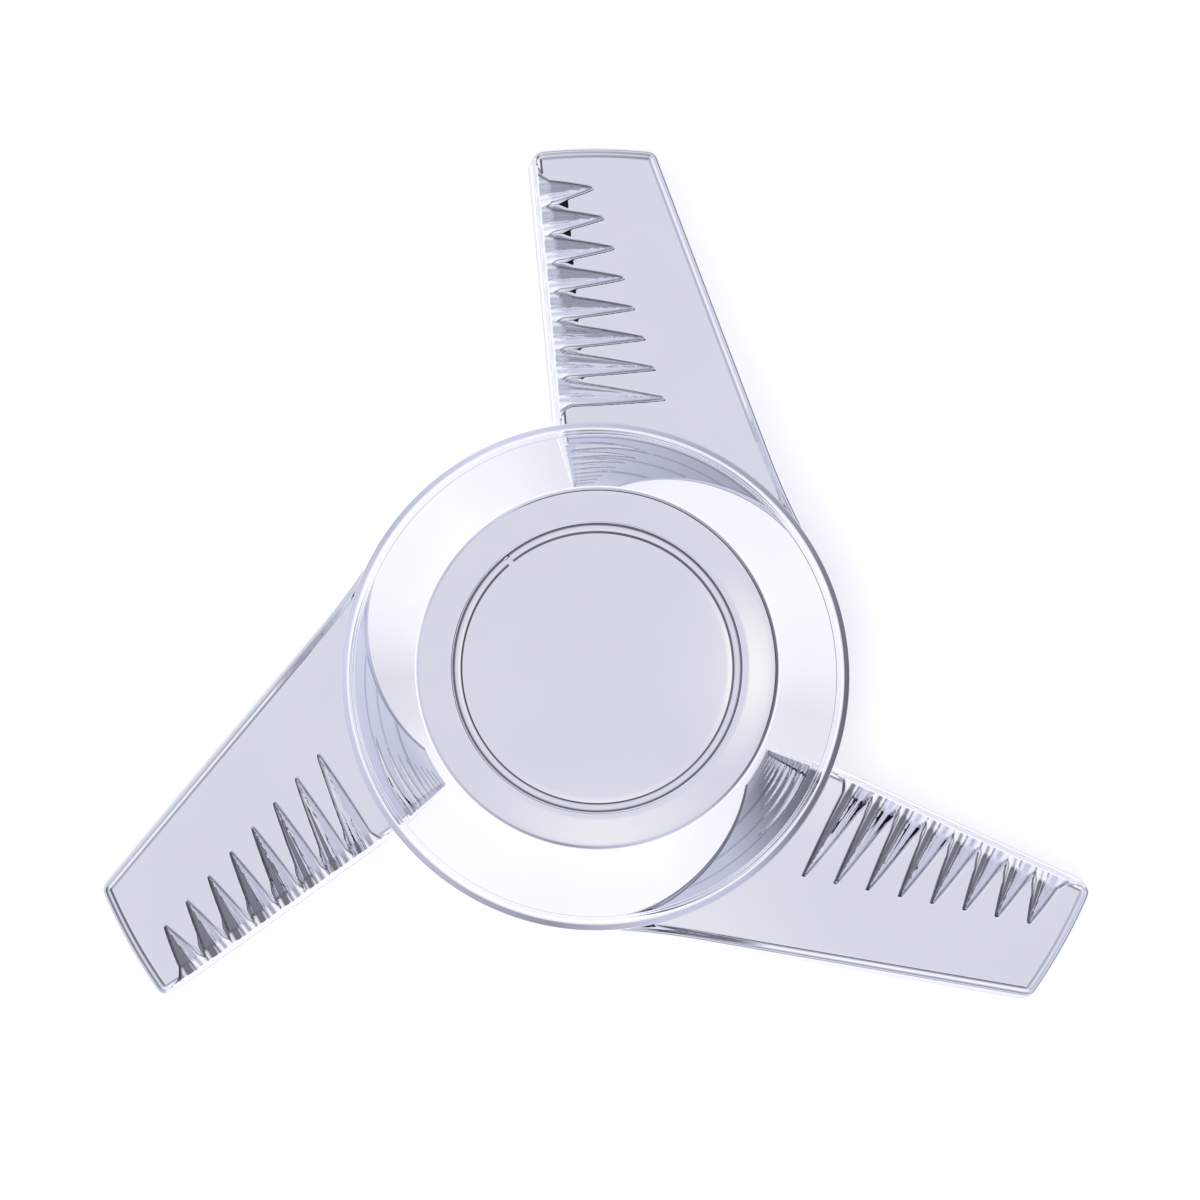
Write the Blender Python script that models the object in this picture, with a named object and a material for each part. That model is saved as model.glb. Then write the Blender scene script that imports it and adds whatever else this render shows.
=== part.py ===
"""Three-blade wheel spinner: a chromed screw-on wheel-centre ornament with its threaded wheel adapter.

The hub axis is Z and the face looks up.  Z = 0 is the face that seats on the wheel, and one blade
points along +Y.  The spinner turns about Z on the adapter's thread and climbs as it unscrews.
"""
import math

import bmesh
import bpy
from mathutils import Matrix, Vector

MM = 0.001
GAP = 0.3 * MM                      # clearance between pieces that touch on the real object

# Hub dome
PANEL_Z = 8.0 * MM                  # blade panels, and the seat of the dome
HUB_R = 53.7 * MM                   # dome foot at its seat
HUB_H = 31.5 * MM                   # top face above the panels
FLARE_R = 50.7 * MM                 # top of the foot's flare
FLARE_H = 4.6 * MM
CREASE_R = 35.9 * MM                # edge between the dome's side and its flat top
CREASE_ROUND = 0.9 * MM
DOME_BULGE = math.radians(17.0)     # half the angle the side turns through
DOME_WALL = 3.0 * MM
TOP_Z = PANEL_Z + HUB_H

# Emblem stack in the top recess
RECESS_R = 28.8 * MM
RECESS_DEPTH = 4.7 * MM
FLOOR_T = 2.8 * MM
PAD_T = 1.0 * MM
DISC_T = 1.2 * MM
RING_T = 0.7 * MM
RING_INNER_R = 27.0 * MM
RING_GROOVE = 1.4 * MM              # depth of the ring's groove in the recess wall
RING_SPLIT_DEG = 129.0
RING_SPLIT_W = 1.2 * MM

# Blades, in a frame with y along the blade and x across it
BLADES = 3
TIP_R = 113.2 * MM                  # tip edge, an arc about the hub axis
FLUTED_AT = (-7.76 * MM, 55.0 * MM)  # a point on the fluted edge
FLUTED_LEAN = math.radians(4.8)     # the fluted edge leans away from the blade's y
LONG_AT = (15.0 * MM, 109.9 * MM)   # a point on the long swept edge
LONG_LEAN = math.radians(19.8)
ROOT_BLEND_R = 150.0 * MM           # the long edge curves into the skirt
CORNER_R = 2.4 * MM
BLADE_BACK_Z = 1.0 * MM
DRAFT = 1.0 * MM                    # the walls spread by this much down to the back
RIM_H = 0.9 * MM
RIM_W = 2.0 * MM
POCKET_WALL = 3.6 * MM
POCKET_TOP_Z = 3.4 * MM
POCKET_INNER_R = 58.0 * MM

# Flutes cut across the fluted edge
FLUTES = 8
FLUTE_DEPTH = 2.3 * MM
FLUTE_FIRST_APEX = (0.2 * MM, 104.6 * MM)
FLUTE_APEX_STEP = (2.11 * MM, -6.53 * MM)
FLUTE_FIRST_EDGE = (-10.9 * MM, 106.5 * MM)
FLUTE_EDGE_STEP = (0.474 * MM, -6.195 * MM)

# Core of the blade casting
SKIRT_R = 53.6 * MM
SKIRT_INNER_R = 44.5 * MM
SPIGOT_R = 47.2 * MM
WEB_Z = 9.9 * MM
WEB_TOP_Z = 15.9 * MM
BOSS_R = 34.0 * MM
BOSS_TOP_Z = 18.9 * MM
WASHER_BORE_R = 30.0 * MM
BUSH_SEAT_Z = 13.2 * MM

# Thread between the bush and the adapter, right-handed
PITCH = 3.0 * MM
THREAD_R = 18.0 * MM
THREAD_DEPTH = 1.5 * MM
THREAD_GAP = 0.45 * MM
THREAD_ROWS = 5                     # mesh rows for each turn of thread
STUB_TOP_Z = 24.4 * MM
BUSH_R = 23.0 * MM
BUSH_FLANGE_T = 3.0 * MM
BUSH_LENGTH = 14.4 * MM

# Adapter and its fastenings
GASKET_T = 1.5 * MM
FLANGE_R = 43.8 * MM
FLANGE_TOP_Z = 9.5 * MM
STUB_BORE_R = 10.5 * MM
KEYWAY_W = 6.0 * MM
KEYWAY_R = 14.6 * MM
ADAPTER_SCREWS = 5
ADAPTER_SCREW_PCR = 36.5 * MM
ADAPTER_SCREW_R = 3.0 * MM
ADAPTER_SCREW_HEAD_R = 5.9 * MM
ADAPTER_SCREW_REACH = 12.0 * MM

DOME_SCREWS = 6
DOME_SCREW_PCR = 38.0 * MM
PILLAR_R = 3.3 * MM
BUSH_SCREWS = 4
BUSH_SCREW_PCR = 26.7 * MM
M4_R = 2.0 * MM
LOCK_SCREW_R = 2.5 * MM
LOCK_SCREW_LEN = 8.0 * MM
LOCK_SCREW_Z = 4.6 * MM
LOCK_SCREW_DEG = 36.0               # past each blade, in the middle of the bare skirt

ROUND = 60                          # segments of the large turned pieces
THREADED = 40                       # segments of the threaded pieces
SMALL = 18                          # segments of screws and their holes

CHROME = (0.80, 0.80, 0.83, 1.0)
STEEL = (0.55, 0.56, 0.58, 1.0)
ZINC = (0.62, 0.62, 0.60, 1.0)
BLACK_OXIDE = (0.05, 0.05, 0.055, 1.0)
RUBBER = (0.03, 0.03, 0.03, 1.0)
FOAM = (0.12, 0.12, 0.13, 1.0)


def clear_scene():
    """Empty the scene, whichever file it runs in."""
    for old in list(bpy.data.objects):
        bpy.data.objects.remove(old, do_unlink=True)
    for mesh in list(bpy.data.meshes):
        bpy.data.meshes.remove(mesh)


def face_outward(bm):
    """Turn the faces of every separate shell outward."""
    bmesh.ops.recalc_face_normals(bm, faces=bm.faces)
    waiting = set(bm.faces)
    while waiting:
        shell = [waiting.pop()]
        for face in shell:
            for near in {f for edge in face.edges for f in edge.link_faces} & waiting:
                waiting.discard(near)
                shell.append(near)
        volume = sum(face.calc_center_median().dot(face.normal) * face.calc_area() for face in shell)
        if volume < 0.0:
            bmesh.ops.reverse_faces(bm, faces=shell)


def add_object(name, bm):
    """Link a bmesh as a named object, with its normals turned outward."""
    face_outward(bm)
    mesh = bpy.data.meshes.new(name)
    bm.to_mesh(mesh)
    bm.free()
    obj = bpy.data.objects.new(name, mesh)
    bpy.context.scene.collection.objects.link(obj)
    return obj


def add_cutter(name, bm):
    """Link a bmesh as a guide that only shapes other pieces."""
    obj = add_object(name, bm)
    obj.hide_render = True
    obj.display_type = 'WIRE'
    return obj


def finish(obj, color, roughness, metallic=1.0):
    """Give a piece its material and its smooth shading."""
    mat = bpy.data.materials.new(obj.name)
    mat.use_nodes = True
    shader = mat.node_tree.nodes["Principled BSDF"]
    shader.inputs["Base Color"].default_value = color
    shader.inputs["Roughness"].default_value = roughness
    shader.inputs["Metallic"].default_value = metallic
    mat.diffuse_color = color
    obj.data.materials.append(mat)
    obj.data.shade_smooth()
    obj.data.set_sharp_from_angle(angle=math.radians(30.0))
    return obj


def boolean(obj, other, operation):
    mod = obj.modifiers.new(operation.title() + "_" + other.name, 'BOOLEAN')
    mod.operation = operation
    mod.solver = 'EXACT'
    mod.object = other
    return mod


def on_circle(radius, angle, z=0.0):
    return Vector((radius * math.cos(angle), radius * math.sin(angle), z))


def evenly(count, start=0.0):
    """Angles of count places round a circle."""
    return [start + 2.0 * math.pi * i / count for i in range(count)]


# ---------------------------------------------------------------- turned shapes

def revolve(bm, rows, segments, matrix=Matrix.Identity(4)):
    """Turn rows about Z.  A row is (r, z), or a function of the angle that gives r and z.

    A profile whose first and last rows lie on the axis closes there; any other closes on itself.
    """
    rings = []
    for row in rows:
        if not callable(row) and row[0] == 0.0:
            rings.append([bm.verts.new(matrix @ Vector((0.0, 0.0, row[1])))])
            continue
        ring = []
        for angle in evenly(segments):
            r, z = row(angle) if callable(row) else row
            ring.append(bm.verts.new(matrix @ on_circle(r, angle, z)))
        rings.append(ring)
    pairs = list(zip(rings, rings[1:]))
    if len(rings[0]) > 1 and len(rings[-1]) > 1:
        pairs.append((rings[-1], rings[0]))
    for low, high in pairs:
        for i in range(segments):
            j = (i + 1) % segments
            corners = [low[i % len(low)], low[j % len(low)], high[j % len(high)], high[i % len(high)]]
            bm.faces.new(list(dict.fromkeys(corners)))


def turned(name, rows, segments=ROUND):
    bm = bmesh.new()
    revolve(bm, rows, segments)
    return add_object(name, bm)


def cylinders(name, radius, z0, z1, places, segments=SMALL):
    """One guide holding a cylinder at each place, all along Z."""
    bm = bmesh.new()
    for place in places:
        revolve(bm, [(0.0, z0), (radius, z0), (radius, z1), (0.0, z1)], segments,
                Matrix.Translation(place))
    return add_cutter(name, bm)


def arc(center, radius, start, end, steps):
    """Points on an arc in a plane, both ends included."""
    return [(center[0] + radius * math.cos(start + (end - start) * i / steps),
             center[1] + radius * math.sin(start + (end - start) * i / steps))
            for i in range(steps + 1)]


def wave(angle, z):
    """Height of the thread from root (0) to crest (1) at a point of the cylinder."""
    return 0.5 + 0.5 * math.cos(2.0 * math.pi * (z / PITCH) - angle)


def fade(z, z0, z1):
    """Thread height scale, dying away over one pitch at each end."""
    return max(0.0, min(1.0, (z - z0) / PITCH, (z1 - z) / PITCH))


def thread_rows(z0, z1, internal):
    """Rows of a threaded wall from z0 up to z1."""
    count = round((z1 - z0) / PITCH * THREAD_ROWS)
    rows = []
    for k in range(count + 1):
        z = z0 + (z1 - z0) * k / count
        if internal:
            def row(angle, z=z):
                return THREAD_R + THREAD_GAP - THREAD_DEPTH * fade(z, z0, z1) * (1.0 - wave(angle, z)), z
        else:
            def row(angle, z=z):
                return THREAD_R - THREAD_DEPTH * (1.0 - fade(z, z0, z1) * wave(angle, z)), z
        rows.append(row)
    return rows


# ---------------------------------------------------------------- hub dome

def dome_side(inset, steps):
    """The dome's convex side as (r, z) points from the flare up to the crease, moved inward."""
    foot = Vector((FLARE_R, PANEL_Z + FLARE_H))
    crease = Vector((CREASE_R, TOP_Z))
    chord = crease - foot
    radius = chord.length / (2.0 * math.sin(DOME_BULGE))
    outward = Vector((chord.y, -chord.x)).normalized()
    center = (foot + crease) / 2.0 - outward * radius * math.cos(DOME_BULGE)
    start = math.atan2(foot.y - center.y, foot.x - center.x)
    end = math.atan2(crease.y - center.y, crease.x - center.x)
    return arc(center, radius - inset, start, end, steps)


def dome_profile():
    seat = PANEL_Z + GAP
    floor = TOP_Z - RECESS_DEPTH
    groove_low = floor + GAP + PAD_T + GAP + DISC_T
    groove_high = groove_low + 2.0 * GAP + RING_T
    outside = dome_side(0.0, 9)
    crease = arc((CREASE_R - CREASE_ROUND * 1.2, TOP_Z - CREASE_ROUND), CREASE_ROUND,
                 math.radians(48.0), math.radians(90.0), 3)
    side = [p for p in outside[:-1] if p[1] < TOP_Z - CREASE_ROUND]
    flare = [(HUB_R, seat), (HUB_R - 0.2 * MM, seat + 0.7 * MM),
             (FLARE_R + 1.0 * MM, PANEL_Z + FLARE_H - 1.9 * MM),
             (FLARE_R + 0.25 * MM, PANEL_Z + FLARE_H - 0.6 * MM)]
    recess = [(RECESS_R, TOP_Z), (RECESS_R, groove_high), (RECESS_R + RING_GROOVE, groove_high),
              (RECESS_R + RING_GROOVE, groove_low), (RECESS_R, groove_low), (RECESS_R, floor),
              (0.0, floor)]
    collar = RECESS_R + RING_GROOVE + 1.7 * MM
    under = [(0.0, floor - FLOOR_T), (collar, floor - FLOOR_T), (collar, TOP_Z - DOME_WALL)]
    socket_z = WEB_TOP_Z + 0.6 * MM
    inside = [p for p in reversed(dome_side(DOME_WALL, 8))
              if collar < p[0] < SPIGOT_R and socket_z < p[1] < TOP_Z - DOME_WALL]
    spigot = [(SPIGOT_R + GAP, socket_z), (SPIGOT_R + GAP, seat)]
    return [flare + side + crease + recess, under + inside + spigot]


def make_dome():
    """The domed hub shell, with six screw pillars inside and the emblem recess on top."""
    front, back = dome_profile()
    bm = bmesh.new()
    rows = list(reversed(front)) + list(reversed(back))
    revolve(bm, rows, ROUND)
    dome = add_object("hub_dome", bm)
    places = [on_circle(DOME_SCREW_PCR, a) for a in evenly(DOME_SCREWS, math.radians(6.0))]
    pillar_top = TOP_Z - 2.0 * DOME_WALL - 1.7 * MM
    pillars = cylinders("pillar_guide", PILLAR_R, WEB_TOP_Z + GAP, pillar_top, places)
    holes = cylinders("pillar_hole_guide", M4_R + GAP, WEB_TOP_Z - MM, WEB_TOP_Z + 9.0 * MM, places)
    boolean(dome, pillars, 'UNION')
    boolean(dome, holes, 'DIFFERENCE')
    return finish(dome, CHROME, 0.06)


def make_emblem():
    """Foam pad, blank disc and split ring, stacked in the dome's recess."""
    z = TOP_Z - RECESS_DEPTH + GAP
    pad_r = RECESS_R - 1.5 * MM
    pad = turned("emblem_pad", [(0.0, z), (pad_r, z), (pad_r, z + PAD_T), (0.0, z + PAD_T)])
    finish(pad, FOAM, 0.9, 0.0)

    z += PAD_T + GAP
    edge = 0.3 * MM
    disc_r = RECESS_R - GAP
    disc = turned("emblem_disc", [
        (0.0, z), (disc_r, z), (disc_r, z + DISC_T - edge), (disc_r - edge, z + DISC_T), (0.0, z + DISC_T)])
    finish(disc, CHROME, 0.08)

    z += DISC_T + GAP
    outer = RECESS_R + RING_GROOVE - GAP
    half = math.asin(RING_SPLIT_W / 2.0 / RING_INNER_R)
    start = math.radians(RING_SPLIT_DEG) + half
    sweep = 2.0 * math.pi - 2.0 * half
    section = [(RING_INNER_R, z), (outer, z), (outer, z + RING_T), (RING_INNER_R, z + RING_T)]
    bm = bmesh.new()
    open_ring(bm, section, start, sweep, ROUND)
    finish(add_object("emblem_ring", bm), STEEL, 0.2)


def open_ring(bm, section, start, sweep, steps):
    """Sweep a section of (r, z) points part of the way round Z and close both ends."""
    loops = []
    for i in range(steps + 1):
        angle = start + sweep * i / steps
        loops.append([bm.verts.new(on_circle(r, angle, z)) for r, z in section])
    for a, b in zip(loops, loops[1:]):
        for i in range(len(section)):
            j = (i + 1) % len(section)
            bm.faces.new((a[i], a[j], b[j], b[i]))
    bm.faces.new(loops[0])
    bm.faces.new(list(reversed(loops[-1])))


# ---------------------------------------------------------------- blades

def circle_line(radius, normal, distance, direction):
    """Where the line at a distance from the origin meets a circle, on the side of direction."""
    along = math.sqrt(radius * radius - distance * distance)
    return normal * distance + direction * along


def blade_outline(offset, inner_r, corner_r=CORNER_R):
    """Corner points of a blade's outline moved outward by offset, counter-clockwise.

    The outline is the fluted edge, the tip arc and the long edge, joined by corner arcs.  Its inner
    end is an arc of inner_r about the hub axis; an inner_r within the skirt adds the root blend.
    """
    fluted_up = Vector((-math.sin(FLUTED_LEAN), math.cos(FLUTED_LEAN)))
    fluted_n = Vector((-math.cos(FLUTED_LEAN), -math.sin(FLUTED_LEAN)))
    fluted_d = fluted_n.dot(Vector(FLUTED_AT))
    long_down = Vector((math.sin(LONG_LEAN), -math.cos(LONG_LEAN)))
    long_n = Vector((math.cos(LONG_LEAN), math.sin(LONG_LEAN)))
    long_d = long_n.dot(Vector(LONG_AT))

    long_corner = circle_line(TIP_R - corner_r, long_n, long_d - corner_r, -long_down)
    fluted_corner = circle_line(TIP_R - corner_r, fluted_n, fluted_d - corner_r, fluted_up)
    turn_long = (math.atan2(long_n.y, long_n.x), math.atan2(long_corner.y, long_corner.x))
    turn_fluted = (math.atan2(fluted_corner.y, fluted_corner.x), math.atan2(fluted_n.y, fluted_n.x))
    if turn_fluted[1] < 0.0:
        turn_fluted = (turn_fluted[0], turn_fluted[1] + 2.0 * math.pi)

    points = []
    if inner_r < SKIRT_R:
        span = (SKIRT_R + ROOT_BLEND_R) ** 2 - (long_d + ROOT_BLEND_R) ** 2
        blend = long_n * (long_d + ROOT_BLEND_R) - long_down * math.sqrt(span)
        to_hub = math.atan2(-blend.y, -blend.x)
        to_line = math.atan2(-long_n.y, -long_n.x)
        points += arc(blend, ROOT_BLEND_R - offset, to_hub, to_line, 6)
        inner_end = math.atan2(blend.y, blend.x)
    else:
        end = circle_line(inner_r, long_n, long_d + offset, -long_down)
        inner_end = math.atan2(end.y, end.x)
    points += arc(long_corner, corner_r + offset, turn_long[0], turn_long[1], 5)
    points += arc((0.0, 0.0), TIP_R + offset, turn_long[1], turn_fluted[0], 6)[1:-1]
    points += arc(fluted_corner, corner_r + offset, turn_fluted[0], turn_fluted[1], 5)
    # the inner arc moves toward the hub as the outline grows
    end_r = inner_r - offset if inner_r < SKIRT_R else inner_r
    start = circle_line(end_r, fluted_n, fluted_d + offset, fluted_up)
    inner_start = math.atan2(start.y, start.x)
    points += arc((0.0, 0.0), end_r, inner_start, inner_end, 8)
    return points


def rim_levels():
    """(offset, z) levels of a blade from its back edge, over the rim, down to the panel."""
    return [(DRAFT, BLADE_BACK_Z),
            (0.0, PANEL_Z + 0.1 * MM),
            (-0.25 * MM, PANEL_Z + RIM_H - 0.2 * MM),
            (-0.6 * MM, PANEL_Z + RIM_H),
            (-0.95 * MM, PANEL_Z + RIM_H - 0.1 * MM),
            (-1.4 * MM, PANEL_Z + 0.3 * MM),
            (-RIM_W, PANEL_Z)]


def loft(bm, levels, turn):
    """Close a stack of outlines, all with the same number of points, into one solid."""
    loops = []
    for points, z in levels:
        loops.append([bm.verts.new(turn @ Vector((x, y, z))) for x, y in points])
    for low, high in zip(loops, loops[1:]):
        for i in range(len(low)):
            j = (i + 1) % len(low)
            bm.faces.new((low[i], low[j], high[j], high[i]))
    bm.faces.new(list(reversed(loops[0])))
    bm.faces.new(loops[-1])


def blade_turns():
    return [Matrix.Rotation(a, 4, 'Z') for a in evenly(BLADES)]


def make_blade_blanks():
    """The three rimmed blades as one guide, cut clear of the dome's foot."""
    inner_r = (SKIRT_R + SKIRT_INNER_R) / 2.0
    bm = bmesh.new()
    for turn in blade_turns():
        loft(bm, [(blade_outline(offset, inner_r), z) for offset, z in rim_levels()], turn)
    blanks = add_cutter("blade_guide", bm)
    clear = cylinders("dome_foot_guide", HUB_R + GAP, PANEL_Z - 0.05 * MM, PANEL_Z + 9.0 * MM,
                      [Vector((0.0, 0.0, 0.0))], ROUND)
    boolean(blanks, clear, 'DIFFERENCE')
    return blanks


def make_pocket_guide():
    bm = bmesh.new()
    for turn in blade_turns():
        outline = blade_outline(-POCKET_WALL, POCKET_INNER_R, POCKET_WALL + CORNER_R)
        loft(bm, [(outline, 0.0), (outline, POCKET_TOP_Z)], turn)
    return add_cutter("pocket_guide", bm)


def flute_cutter(bm, index, turn):
    """A wedge whose keel rises from below the fluted edge to a point on the panel, and past it."""
    apex = Vector((FLUTE_FIRST_APEX[0] + index * FLUTE_APEX_STEP[0],
                   FLUTE_FIRST_APEX[1] + index * FLUTE_APEX_STEP[1], PANEL_Z))
    ends = [Vector((FLUTE_FIRST_EDGE[0] + k * FLUTE_EDGE_STEP[0],
                    FLUTE_FIRST_EDGE[1] + k * FLUTE_EDGE_STEP[1], PANEL_Z + RIM_H))
            for k in (index, index + 1)]
    keel = (ends[0] + ends[1]) / 2.0
    keel.z = PANEL_Z - FLUTE_DEPTH
    reach = 1.0 + 4.5 * MM / (keel - apex).length
    roof = PANEL_Z + 2.0 * MM
    low = apex + (keel - apex) * reach
    high = apex + (apex - keel) * ((roof - PANEL_Z) / FLUTE_DEPTH)
    corners = [low, high]
    for end in ends:
        far = apex + (end - apex) * reach
        corners.append(low + (far - low) * ((roof - low.z) / (far.z - low.z)))
    verts = [bm.verts.new(turn @ corner) for corner in corners]
    for a, b, c in ((0, 1, 2), (0, 1, 3), (0, 2, 3), (1, 2, 3)):
        bm.faces.new((verts[a], verts[b], verts[c]))


def make_flute_guides():
    """Every other flute goes in one guide, so that the wedges in a guide stay apart."""
    guides = []
    for parity, name in ((0, "flute_guide_a"), (1, "flute_guide_b")):
        bm = bmesh.new()
        for turn in blade_turns():
            for index in range(parity, FLUTES, 2):
                flute_cutter(bm, index, turn)
        guides.append(add_cutter(name, bm))
    return guides


def make_casting():
    """Three blades, the skirt, the dome's spigot and the web that carries the threaded bush."""
    low = BLADE_BACK_Z - 0.2 * MM
    clip_low = FLANGE_TOP_Z + 0.8 * MM
    clip_high = clip_low + 1.4 * MM
    clip_r = WASHER_BORE_R + 1.5 * MM
    casting = turned("blade_casting", [
        (SKIRT_INNER_R, low), (SKIRT_R + 0.3 * MM, low), (SKIRT_R, PANEL_Z - 0.1 * MM),
        (SPIGOT_R, PANEL_Z - 0.1 * MM), (SPIGOT_R, WEB_TOP_Z - 0.8 * MM),
        (SPIGOT_R - 0.8 * MM, WEB_TOP_Z), (BOSS_R, WEB_TOP_Z), (BOSS_R, BOSS_TOP_Z),
        (BUSH_R + GAP, BOSS_TOP_Z), (BUSH_R + GAP, BUSH_SEAT_Z), (WASHER_BORE_R, BUSH_SEAT_Z),
        (WASHER_BORE_R, clip_high), (clip_r, clip_high), (clip_r, clip_low),
        (WASHER_BORE_R, clip_low), (WASHER_BORE_R, WEB_Z), (SKIRT_INNER_R, WEB_Z)])
    boolean(casting, make_blade_blanks(), 'UNION')
    for guide in make_flute_guides():
        boolean(casting, guide, 'DIFFERENCE')
    boolean(casting, make_pocket_guide(), 'DIFFERENCE')

    dome_places = [on_circle(DOME_SCREW_PCR, a) for a in evenly(DOME_SCREWS, math.radians(6.0))]
    bush_places = [on_circle(BUSH_SCREW_PCR, a) for a in evenly(BUSH_SCREWS, math.radians(45.0))]
    bm = bmesh.new()
    for place in dome_places:
        revolve(bm, [(0.0, WEB_Z - MM), (3.8 * MM, WEB_Z - MM), (3.8 * MM, WEB_Z + 3.4 * MM),
                     (M4_R + GAP, WEB_Z + 3.4 * MM), (M4_R + GAP, WEB_TOP_Z + MM),
                     (0.0, WEB_TOP_Z + MM)], SMALL, Matrix.Translation(place))
    for place in bush_places:
        revolve(bm, [(0.0, BUSH_SEAT_Z + 0.9 * MM), (M4_R + GAP, BUSH_SEAT_Z + 0.9 * MM),
                     (M4_R + GAP, BOSS_TOP_Z + MM), (0.0, BOSS_TOP_Z + MM)],
                SMALL, Matrix.Translation(place))
    for angle in lock_angles():
        revolve(bm, [(0.0, SKIRT_INNER_R - MM), (LOCK_SCREW_R + GAP, SKIRT_INNER_R - MM),
                     (LOCK_SCREW_R + GAP, SKIRT_R + MM), (0.0, SKIRT_R + MM)],
                SMALL, radial(angle, 0.0, LOCK_SCREW_Z))
    boolean(casting, add_cutter("screw_hole_guide", bm), 'DIFFERENCE')
    return finish(casting, CHROME, 0.06)


# ---------------------------------------------------------------- screws

def radial(angle, radius, z):
    """A frame whose Z points away from the hub axis at an angle."""
    out = Vector((math.cos(angle), math.sin(angle), 0.0))
    up = Vector((0.0, 0.0, 1.0))
    side = up.cross(out)
    frame = Matrix((side, up, out)).transposed().to_4x4()
    frame.translation = on_circle(radius, angle, z)
    return frame


def lock_angles():
    return evenly(BLADES, math.radians(90.0 + LOCK_SCREW_DEG))


def screw(name, profile, socket, matrix, color, roughness):
    """A turned screw whose head faces its local +Z, with a hexagon socket sunk in the head.

    profile runs from the tip on the axis to the rim of the head; socket is (radius, depth).
    """
    bm = bmesh.new()
    rows = [Vector(p) for p in profile]
    rings = []
    for r, z in rows:
        if r == 0.0:
            rings.append([bm.verts.new((0.0, 0.0, z))])
        else:
            rings.append([bm.verts.new(on_circle(r, a, z)) for a in evenly(SMALL)])
    for low, high in zip(rings, rings[1:]):
        for i in range(SMALL):
            j = (i + 1) % SMALL
            corners = [low[i % len(low)], low[j % len(low)], high[j], high[i]]
            bm.faces.new(list(dict.fromkeys(corners)))
    top_z = rows[-1][1]
    mouth = [bm.verts.new(on_circle(socket[0], a, top_z)) for a in evenly(6)]
    floor = [bm.verts.new(on_circle(socket[0], a, top_z - socket[1])) for a in evenly(6)]
    share = SMALL // 6
    for k in range(6):
        rim = [rings[-1][(k * share + i) % SMALL] for i in range(share + 1)]
        bm.faces.new(rim + [mouth[(k + 1) % 6], mouth[k]])
        bm.faces.new((mouth[k], mouth[(k + 1) % 6], floor[(k + 1) % 6], floor[k]))
    bm.faces.new(floor)
    obj = add_object(name, bm)
    obj.matrix_world = matrix
    return finish(obj, color, roughness)


def make_dome_screws():
    """Socket screws that hold the dome down, put in from the back of the web."""
    head_r, head_h = 3.5 * MM, 2.8 * MM
    length = 9.6 * MM
    for i, angle in enumerate(evenly(DOME_SCREWS, math.radians(6.0))):
        place = Matrix.Translation(on_circle(DOME_SCREW_PCR, angle, WEB_Z + 0.2 * MM))
        flip = Matrix.Rotation(math.pi, 4, 'X')
        screw("dome_screw_%d" % (i + 1),
              [(0.0, -head_h - length), (M4_R - 0.5 * MM, -head_h - length),
               (M4_R, -head_h - length + 0.5 * MM), (M4_R, -head_h), (head_r, -head_h),
               (head_r, -0.4 * MM), (head_r - 0.4 * MM, 0.0)],
              (1.75 * MM, 1.6 * MM), place @ flip, BLACK_OXIDE, 0.45)


def make_bush_screws():
    """Flat-head screws through the bush's flange into the web's boss."""
    top = BOSS_TOP_Z + GAP + BUSH_FLANGE_T - 0.1 * MM
    for i, angle in enumerate(evenly(BUSH_SCREWS, math.radians(45.0))):
        screw("bush_screw_%d" % (i + 1),
              [(0.0, -7.3 * MM), (M4_R - 0.5 * MM, -7.3 * MM), (M4_R, -6.8 * MM),
               (M4_R, -1.9 * MM), (3.6 * MM, -0.3 * MM), (3.6 * MM, 0.0)],
              (1.45 * MM, 1.2 * MM), Matrix.Translation(on_circle(BUSH_SCREW_PCR, angle, top)),
              ZINC, 0.35)


def make_lock_screws():
    """Grub screws through the skirt that bear on the adapter's rim when they are run in."""
    for i, angle in enumerate(lock_angles()):
        screw("lock_screw_%d" % (i + 1),
              [(0.0, -LOCK_SCREW_LEN), (1.4 * MM, -LOCK_SCREW_LEN),
               (LOCK_SCREW_R, 1.1 * MM - LOCK_SCREW_LEN), (LOCK_SCREW_R, -0.4 * MM),
               (LOCK_SCREW_R - 0.4 * MM, 0.0)],
              (1.45 * MM, 2.4 * MM),
              radial(angle, FLANGE_R + GAP + LOCK_SCREW_LEN, LOCK_SCREW_Z), BLACK_OXIDE, 0.45)


def make_adapter_screws():
    """Flat-head screws that fix the adapter to the wheel."""
    top = FLANGE_TOP_Z - 0.3 * MM
    r, head = ADAPTER_SCREW_R, ADAPTER_SCREW_HEAD_R
    tip = -top - ADAPTER_SCREW_REACH
    for i, angle in enumerate(evenly(ADAPTER_SCREWS, math.radians(90.0))):
        screw("adapter_screw_%d" % (i + 1),
              [(0.0, tip), (r - 0.8 * MM, tip), (r, tip + 0.8 * MM), (r, -3.3 * MM),
               (head, -0.4 * MM), (head, 0.0)],
              (2.3 * MM, 2.2 * MM),
              Matrix.Translation(on_circle(ADAPTER_SCREW_PCR, angle, top)), ZINC, 0.35)


# ---------------------------------------------------------------- thread, washer and adapter

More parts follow.
